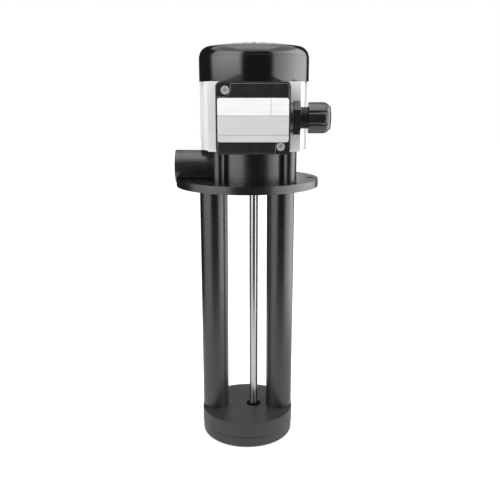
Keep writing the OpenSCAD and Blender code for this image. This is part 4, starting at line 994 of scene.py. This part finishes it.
class PUMP_OT_motor(bpy.types.Operator):
    """Builds the shaft, rotor and stator, with wound end turns"""

    bl_idname = "coolant_pump.motor"
    bl_label = "Shaft, rotor and stator"

    def execute(self, context):
        sizes, look = context.scene.pump_sizes, context.scene.pump_finish
        edge = look.small_edge
        dressed("motor_shaft", "shaft_steel", look.metal_edge)
        dressed("rotor_core", "lamination_steel", edge)
        dressed("rotor_cage", "cast_aluminium", edge)
        dressed("stator_core", "lamination_steel", edge)
        dressed("preload_spring", "screw_steel", edge)
        dress_all("seal_rubber", edge, "shaft_lip_seal", "slinger_ring")
        coils = dressed("stator_windings", "winding_copper", edge)
        lo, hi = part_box("stator_windings")
        tree = wire_tree()
        wire = sizes.wire_diameter / 2
        inner, outer, high = 22.0 * MM, 31.0 * MM, 5.5 * MM
        for name, foot in (("lower", lo.z), ("upper", hi.z - high)):
            values = {
                "Inner radius": inner + wire,
                "Outer radius": outer - wire,
                "Height": high - 2 * wire,
                "Wire radius": wire,
                "Place": SHAFT_AXIS + Vector((0.0, 0.0, foot + high / 2)),
            }
            turn = tree.build(f"{name}_end_turn", points_mesh(name, [SHAFT_AXIS]), "winding_copper", values)
            shade_smooth(turn.data)
            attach(turn, coils["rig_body"])
        return {"FINISHED"}


class PUMP_OT_bearings(bpy.types.Operator):
    """Builds both ball bearings"""

    bl_idname = "coolant_pump.bearings"
    bl_label = "Ball bearings"

    def execute(self, context):
        look = context.scene.pump_finish
        tree = ball_tree()
        for which in ("lower", "upper"):
            rings = (f"{which}_bearing_outer", f"{which}_bearing_inner")
            dress_all("bearing_steel", look.small_edge, *rings)
            node = f"{which}_bearing_balls"
            lo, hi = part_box(node)
            outer, inner = [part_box(ring)[1].x for ring in rings]
            ball = (hi.z - lo.z) / 2
            row = (hi.x - lo.x) / 2 - ball
            if not (inner - SHAFT_AXIS.x) < row + ball < (outer - SHAFT_AXIS.x):
                raise RuntimeError(f"{node}: the row of balls isn't between its rings")
            values = {
                "Count": context.scene.pump_sizes.ball_count,
                "Ball radius": ball,
                "Row radius": row,
                "Cage radius": ball * 0.3,
                "Place": SHAFT_AXIS + Vector((0.0, 0.0, (lo.z + hi.z) / 2)),
            }
            piece = tree.build(f"{node}_finished", points_mesh(node, [SHAFT_AXIS]), "bearing_steel", values)
            shade_smooth(piece.data)
            stand_for(piece, node)
        return {"FINISHED"}


class PUMP_OT_terminal_box(bpy.types.Operator):
    """Builds the terminal box, its lid, gaskets, terminal block and leads"""

    bl_idname = "coolant_pump.terminal_box"
    bl_label = "Terminal box"

    def execute(self, context):
        look = context.scene.pump_finish
        dressed("terminal_box", "box_plastic", look.moulded_edge)
        lid = dressed("box_lid", "box_plastic", look.moulded_edge)
        chamfer_front(lid, look.lid_chamfer, look.metal_edge)
        dress_all("seal_rubber", look.small_edge, "box_gasket", "lid_gasket")
        dressed("terminal_block", "block_plastic", look.small_edge)
        dressed("motor_leads", "lead_insulation", look.small_edge, RING_EDGE)
        return {"FINISHED"}


class PUMP_OT_nameplate(bpy.types.Operator):
    """Builds the bare nameplate on the lid"""

    bl_idname = "coolant_pump.nameplate"
    bl_label = "Nameplate"

    def execute(self, context):
        dressed("nameplate", "plate_metal", context.scene.pump_finish.small_edge)
        return {"FINISHED"}


class PUMP_OT_gland(bpy.types.Operator):
    """Builds the cable gland: body with its thread, washer, seal, slip ring and cap nut"""

    bl_idname = "coolant_pump.gland"
    bl_label = "Cable gland"

    def execute(self, context):
        sizes, look = context.scene.pump_sizes, context.scene.pump_finish
        lo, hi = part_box("gland_body")
        stem, neck = 8.6 * MM, 12.9 * MM
        values = {
            "Stem length": stem,
            "Hexagon radius": max(hi.y - lo.y, hi.z - lo.z) / 2,
            "Hexagon length": hi.x - lo.x - stem - neck,
            "Neck length": neck,
            "Thread pitch": sizes.thread_pitch,
            "Thread depth": sizes.thread_depth,
            "Place": Vector((lo.x + stem, (lo.y + hi.y) / 2, (lo.z + hi.z) / 2)),
        }
        piece = gland_tree().build("gland_body_finished", points_mesh("gland", [lo]), "gland_plastic", values)
        round_edges(piece, look.small_edge, STEPPED_EDGE)
        stand_for(piece, "gland_body")
        cap_edge = 0.3 * MM
        dressed("gland_cap", "gland_plastic", cap_edge, STEPPED_EDGE)
        dress_all("seal_rubber", look.small_edge, "gland_washer", "gland_seal")
        dressed("gland_slip_ring", "gland_plastic", look.small_edge)
        return {"FINISHED"}


class PUMP_OT_screws(bpy.types.Operator):
    """Builds every screw that holds the pump together"""

    bl_idname = "coolant_pump.screws"
    bl_label = "Screws"

    def execute(self, context):
        edge = context.scene.pump_finish.small_edge
        tree = screw_tree()
        front = (0.0, -1.0, 0.0)
        lid = {
            "Head radius": 3.4 * MM,
            "Head height": 2.2 * MM,
            "Shank radius": 1.9 * MM,
            "Recess width": 1.3 * MM,
            "Recess depth": 1.8 * MM,
        }
        screws(tree, "lid_screws", "screw_steel", front, lid)
        holding = {"Head radius": 2.8 * MM, "Head height": 2.0 * MM, "Shank radius": 1.5 * MM}
        screws(tree, "box_screws", "screw_steel", front, holding)
        earth = {"Head radius": 4.0 * MM, "Head height": 2.6 * MM, "Shank radius": 2.0 * MM}
        screws(tree, "earth_screw", "terminal_brass", front, earth)
        lo, hi = shells_of("tie_bolts")[0]
        bolts = {
            "Head radius": max(hi.x - lo.x, hi.y - lo.y) / 2,
            "Head height": 2.8 * MM,
            "Head sides": 6,
            "Shank radius": 2.0 * MM,
            "Cross recess": False,
        }
        screws(tree, "tie_bolts", "screw_steel", (0.0, 0.0, 1.0), bolts)
        dress_all("screw_steel", edge, "flange_screws", "column_screws", "cover_screws")
        dressed("terminal_screws", "terminal_brass", edge)
        return {"FINISHED"}


def towards(azimuth, distance, height):
    """Place at an azimuth in degrees, where 0 is in front of the pump and 90 is to its right."""
    turn = math.radians(azimuth)
    return Vector((distance * math.sin(turn), -distance * math.cos(turn), height))


def softbox(name, at, target, size, brightness):
    """Rectangular lamp whose face has this brightness, where 1 is white."""
    lamp = bpy.data.lights.new(name, "AREA")
    lamp.shape = "RECTANGLE"
    lamp.size, lamp.size_y = size
    lamp.energy = brightness * math.pi * size[0] * size[1]
    made = bpy.data.objects.new(name, lamp)
    made.location = at
    made.rotation_mode = "QUATERNION"
    made.rotation_quaternion = (target - at).to_track_quat("-Z", "Y")
    made.visible_camera = False
    bpy.context.scene.collection.objects.link(made)
    return made


def shown_share(graph):
    """1 for rays from the camera, from glossy surfaces and through clear ones, and 0 for others."""
    path = graph.add("ShaderNodeLightPath").outputs
    glossy = graph.maths("MAXIMUM", path["Is Glossy Ray"], path["Is Transmission Ray"])
    return graph.maths("MAXIMUM", path["Is Camera Ray"], glossy)


def studio_glow(graph, stage):
    """Brightness of the studio all round in reflections: a bright panel to each side, dark between them."""
    place = graph.add("ShaderNodeTexCoord").outputs["Object"]
    axes = graph.add("ShaderNodeSeparateXYZ", {"Vector": place}).outputs
    turn = graph.maths("ARCTAN2", axes["X"], graph.maths("MULTIPLY", axes["Y"], -1.0))
    azimuth = graph.maths("MULTIPLY", turn, math.degrees(1.0))

    def panel(start, end, fade, brightness, *shades):
        """Panel from one azimuth to another, with soft edges and shaded along its length."""
        rise = graph.ramp(azimuth, start, start + fade, 0.0, brightness)
        glow = graph.maths("MULTIPLY", rise, graph.ramp(azimuth, end - fade, end, 1.0, 0.0))
        for shade in shades:
            glow = graph.maths("MULTIPLY", glow, shade)
        return glow

    low = graph.ramp(axes["Z"], -0.2, 0.12, 0.42, 1.0)
    left = panel(-99.0, -21.0, 9.0, stage.left_panel, low, graph.ramp(azimuth, -98.0, -60.0, 0.6, 1.0))
    near, far = graph.ramp(azimuth, 36.0, 90.0, 0.4, 1.0), graph.ramp(azimuth, 100.0, 137.0, 1.0, 0.55)
    right = panel(34.0, 140.0, 8.0, stage.right_panel, near, far)
    behind = graph.ramp(graph.maths("ABSOLUTE", azimuth), 167.0, 173.0, 0.02, 0.8)
    return axes, graph.maths("ADD", graph.maths("ADD", left, right), behind)


def studio_wall(stage, foot, top, radius=0.85, steps=96):
    """Ring-shaped wall of the studio round the pump, which only reflections show."""
    mesh = bpy.data.meshes.new("studio_wall")
    ring = [towards(360.0 * i / steps, radius, z) for z in (foot, top) for i in range(steps)]
    faces = [(i, (i + 1) % steps, steps + (i + 1) % steps, steps + i) for i in range(steps)]
    mesh.from_pydata(ring, [], faces)
    wall = link("studio_wall", mesh)
    graph = Graph(new_stage_material("studio_panels").node_tree)
    glow = graph.add("ShaderNodeEmission", {"Strength": studio_glow(graph, stage)[1]})
    graph.link(glow.outputs[0], graph.add("ShaderNodeOutputMaterial").inputs["Surface"])
    mesh.materials.append(bpy.data.materials["studio_panels"])
    wall.visible_camera = False
    wall.visible_diffuse = False
    wall.visible_shadow = False


def new_stage_material(name):
    """Material of the studio, made once."""
    made = bpy.data.materials.get(name) or bpy.data.materials.new(name)
    made.use_nodes = True
    return made


class PUMP_OT_stage(bpy.types.Operator):
    """Sets the pale floor, the white background, the softboxes and the camera"""

    bl_idname = "coolant_pump.stage"
    bl_label = "Studio"

    def execute(self, context):
        stage = context.scene.pump_stage
        floor_z = CAD_BOX[0].z
        self.floor(stage, floor_z)
        self.world(context, stage)
        lamp_foot, lamp_top, lamp_distance = floor_z + 0.01, 1.1, 0.8
        middle = (lamp_foot + lamp_top) / 2
        for name, azimuth, width, brightness in (
            ("left_softbox", -46.0, 1.04, stage.left_light),
            ("right_softbox", 74.0, 1.75, stage.right_light),
        ):
            at = towards(azimuth, lamp_distance, middle)
            size = (width, lamp_top - lamp_foot)
            lamp = softbox(name, at, Vector((0.0, 0.0, middle)), size, brightness)
            lamp.visible_glossy = False
        overhead, origin, size = Vector((0.0, -0.1, 1.3)), Vector((0.0, 0.0, 0.0)), (1.2, 1.2)
        softbox("top_softbox", overhead, origin, size, stage.top_light)
        wall_foot, wall_top = floor_z + 0.002, 0.75
        studio_wall(stage, wall_foot, wall_top)
        self.camera(context, stage)
        context.scene.view_settings.view_transform = "Standard"
        return {"FINISHED"}

    def floor(self, stage, height):
        """Pale floor that shows white away from the pump and keeps its shadow."""
        reach = 4.0
        mesh = bpy.data.meshes.new("floor")
        corners = [(-1, -1), (1, -1), (1, 1), (-1, 1)]
        mesh.from_pydata([(reach * x, reach * y, height) for x, y in corners], [], [(0, 1, 2, 3)])
        plane = link("floor", mesh)
        graph = Graph(new_stage_material("pale_floor").node_tree)
        paint = graph.add("ShaderNodeBsdfDiffuse", {"Color": rgba(stage.floor_colour)}).outputs[0]
        glow = graph.add("ShaderNodeEmission", {"Strength": graph.maths("MULTIPLY", shown_share(graph), 0.6)})
        both = graph.add("ShaderNodeAddShader", {0: paint, 1: glow.outputs[0]}).outputs[0]
        axes, around = studio_glow(graph, stage)
        flat = graph.add("ShaderNodeCombineXYZ", {0: axes["X"], 1: axes["Y"]}).outputs[0]
        away = graph.add("ShaderNodeVectorMath", {0: flat}, operation="LENGTH").outputs["Value"]
        far = graph.ramp(away, 0.3, 0.48)
        near = graph.maths("MULTIPLY", graph.maths("SUBTRACT", 1.0, far), 0.9)
        strength = graph.maths("ADD", near, graph.maths("MULTIPLY", far, around))
        mirrored = graph.add("ShaderNodeEmission", {"Strength": strength}).outputs[0]
        glossy = graph.add("ShaderNodeLightPath").outputs["Is Glossy Ray"]
        surface = graph.add("ShaderNodeMixShader", {0: glossy, 1: both, 2: mirrored}).outputs[0]
        graph.link(surface, graph.add("ShaderNodeOutputMaterial").inputs["Surface"])
        mesh.materials.append(bpy.data.materials["pale_floor"])

    def world(self, context, stage):
        """White background, and softer room light on the pump."""
        world = bpy.data.worlds.new("studio")
        context.scene.world = world
        world.use_nodes = True
        graph = Graph(world.node_tree)
        shown = shown_share(graph)
        strength = graph.ramp(shown, 0.0, 1.0, stage.room_light, 1.0)
        light = graph.add("ShaderNodeBackground", {"Color": (1, 1, 1, 1), "Strength": strength})
        graph.link(light.outputs[0], graph.add("ShaderNodeOutputWorld").inputs["Surface"])

    def camera(self, context, stage):
        """Camera at the photograph's place and angle."""
        data = bpy.data.cameras.new("camera")
        data.sensor_width = 36.0
        data.lens = stage.camera_lens
        data.clip_start, data.clip_end = 0.01, 20.0
        camera = bpy.data.objects.new("camera", data)
        camera.location = (stage.camera_side, -stage.camera_distance, stage.camera_height)
        camera.rotation_euler = (math.pi / 2 - stage.camera_pitch, 0.0, 0.0)
        context.scene.collection.objects.link(camera)
        context.scene.camera = camera


OPERATORS = (
    PUMP_OT_moulded_body,
    PUMP_OT_pump_end,
    PUMP_OT_housing,
    PUMP_OT_fan_cover,
    PUMP_OT_fan,
    PUMP_OT_motor,
    PUMP_OT_bearings,
    PUMP_OT_terminal_box,
    PUMP_OT_nameplate,
    PUMP_OT_gland,
    PUMP_OT_screws,
    PUMP_OT_stage,
)


class PUMP_PT_pieces(bpy.types.Panel):
    """Lists the operators that build the pump, with their sizes and colours."""

    bl_idname = "PUMP_PT_pieces"
    bl_label = "Coolant Pump"
    bl_space_type = "VIEW_3D"
    bl_region_type = "UI"
    bl_category = "Coolant Pump"

    def draw(self, context):
        for operator in OPERATORS:
            self.layout.operator(operator.bl_idname)
        for group in (context.scene.pump_finish, context.scene.pump_sizes, context.scene.pump_stage):
            box = self.layout.box()
            for name in group.__annotations__:
                box.prop(group, name)


CLASSES = (CoolantPumpFinish, CoolantPumpSizes, CoolantPumpStage, *OPERATORS, PUMP_PT_pieces)


def register():
    """Registers the classes and the scene's settings."""
    for made in CLASSES:
        bpy.utils.register_class(made)
    bpy.types.Scene.pump_finish = PointerProperty(type=CoolantPumpFinish)
    bpy.types.Scene.pump_sizes = PointerProperty(type=CoolantPumpSizes)
    bpy.types.Scene.pump_stage = PointerProperty(type=CoolantPumpStage)


def unregister():
    """Takes the classes and settings away again."""
    del bpy.types.Scene.pump_finish, bpy.types.Scene.pump_sizes, bpy.types.Scene.pump_stage
    for made in reversed(CLASSES):
        bpy.utils.unregister_class(made)


def main():
    """Builds every piece in order."""
    register()
    for operator in OPERATORS:
        group, name = operator.bl_idname.split(".")
        getattr(getattr(bpy.ops, group), name)()


if __name__ == "__main__":
    main()
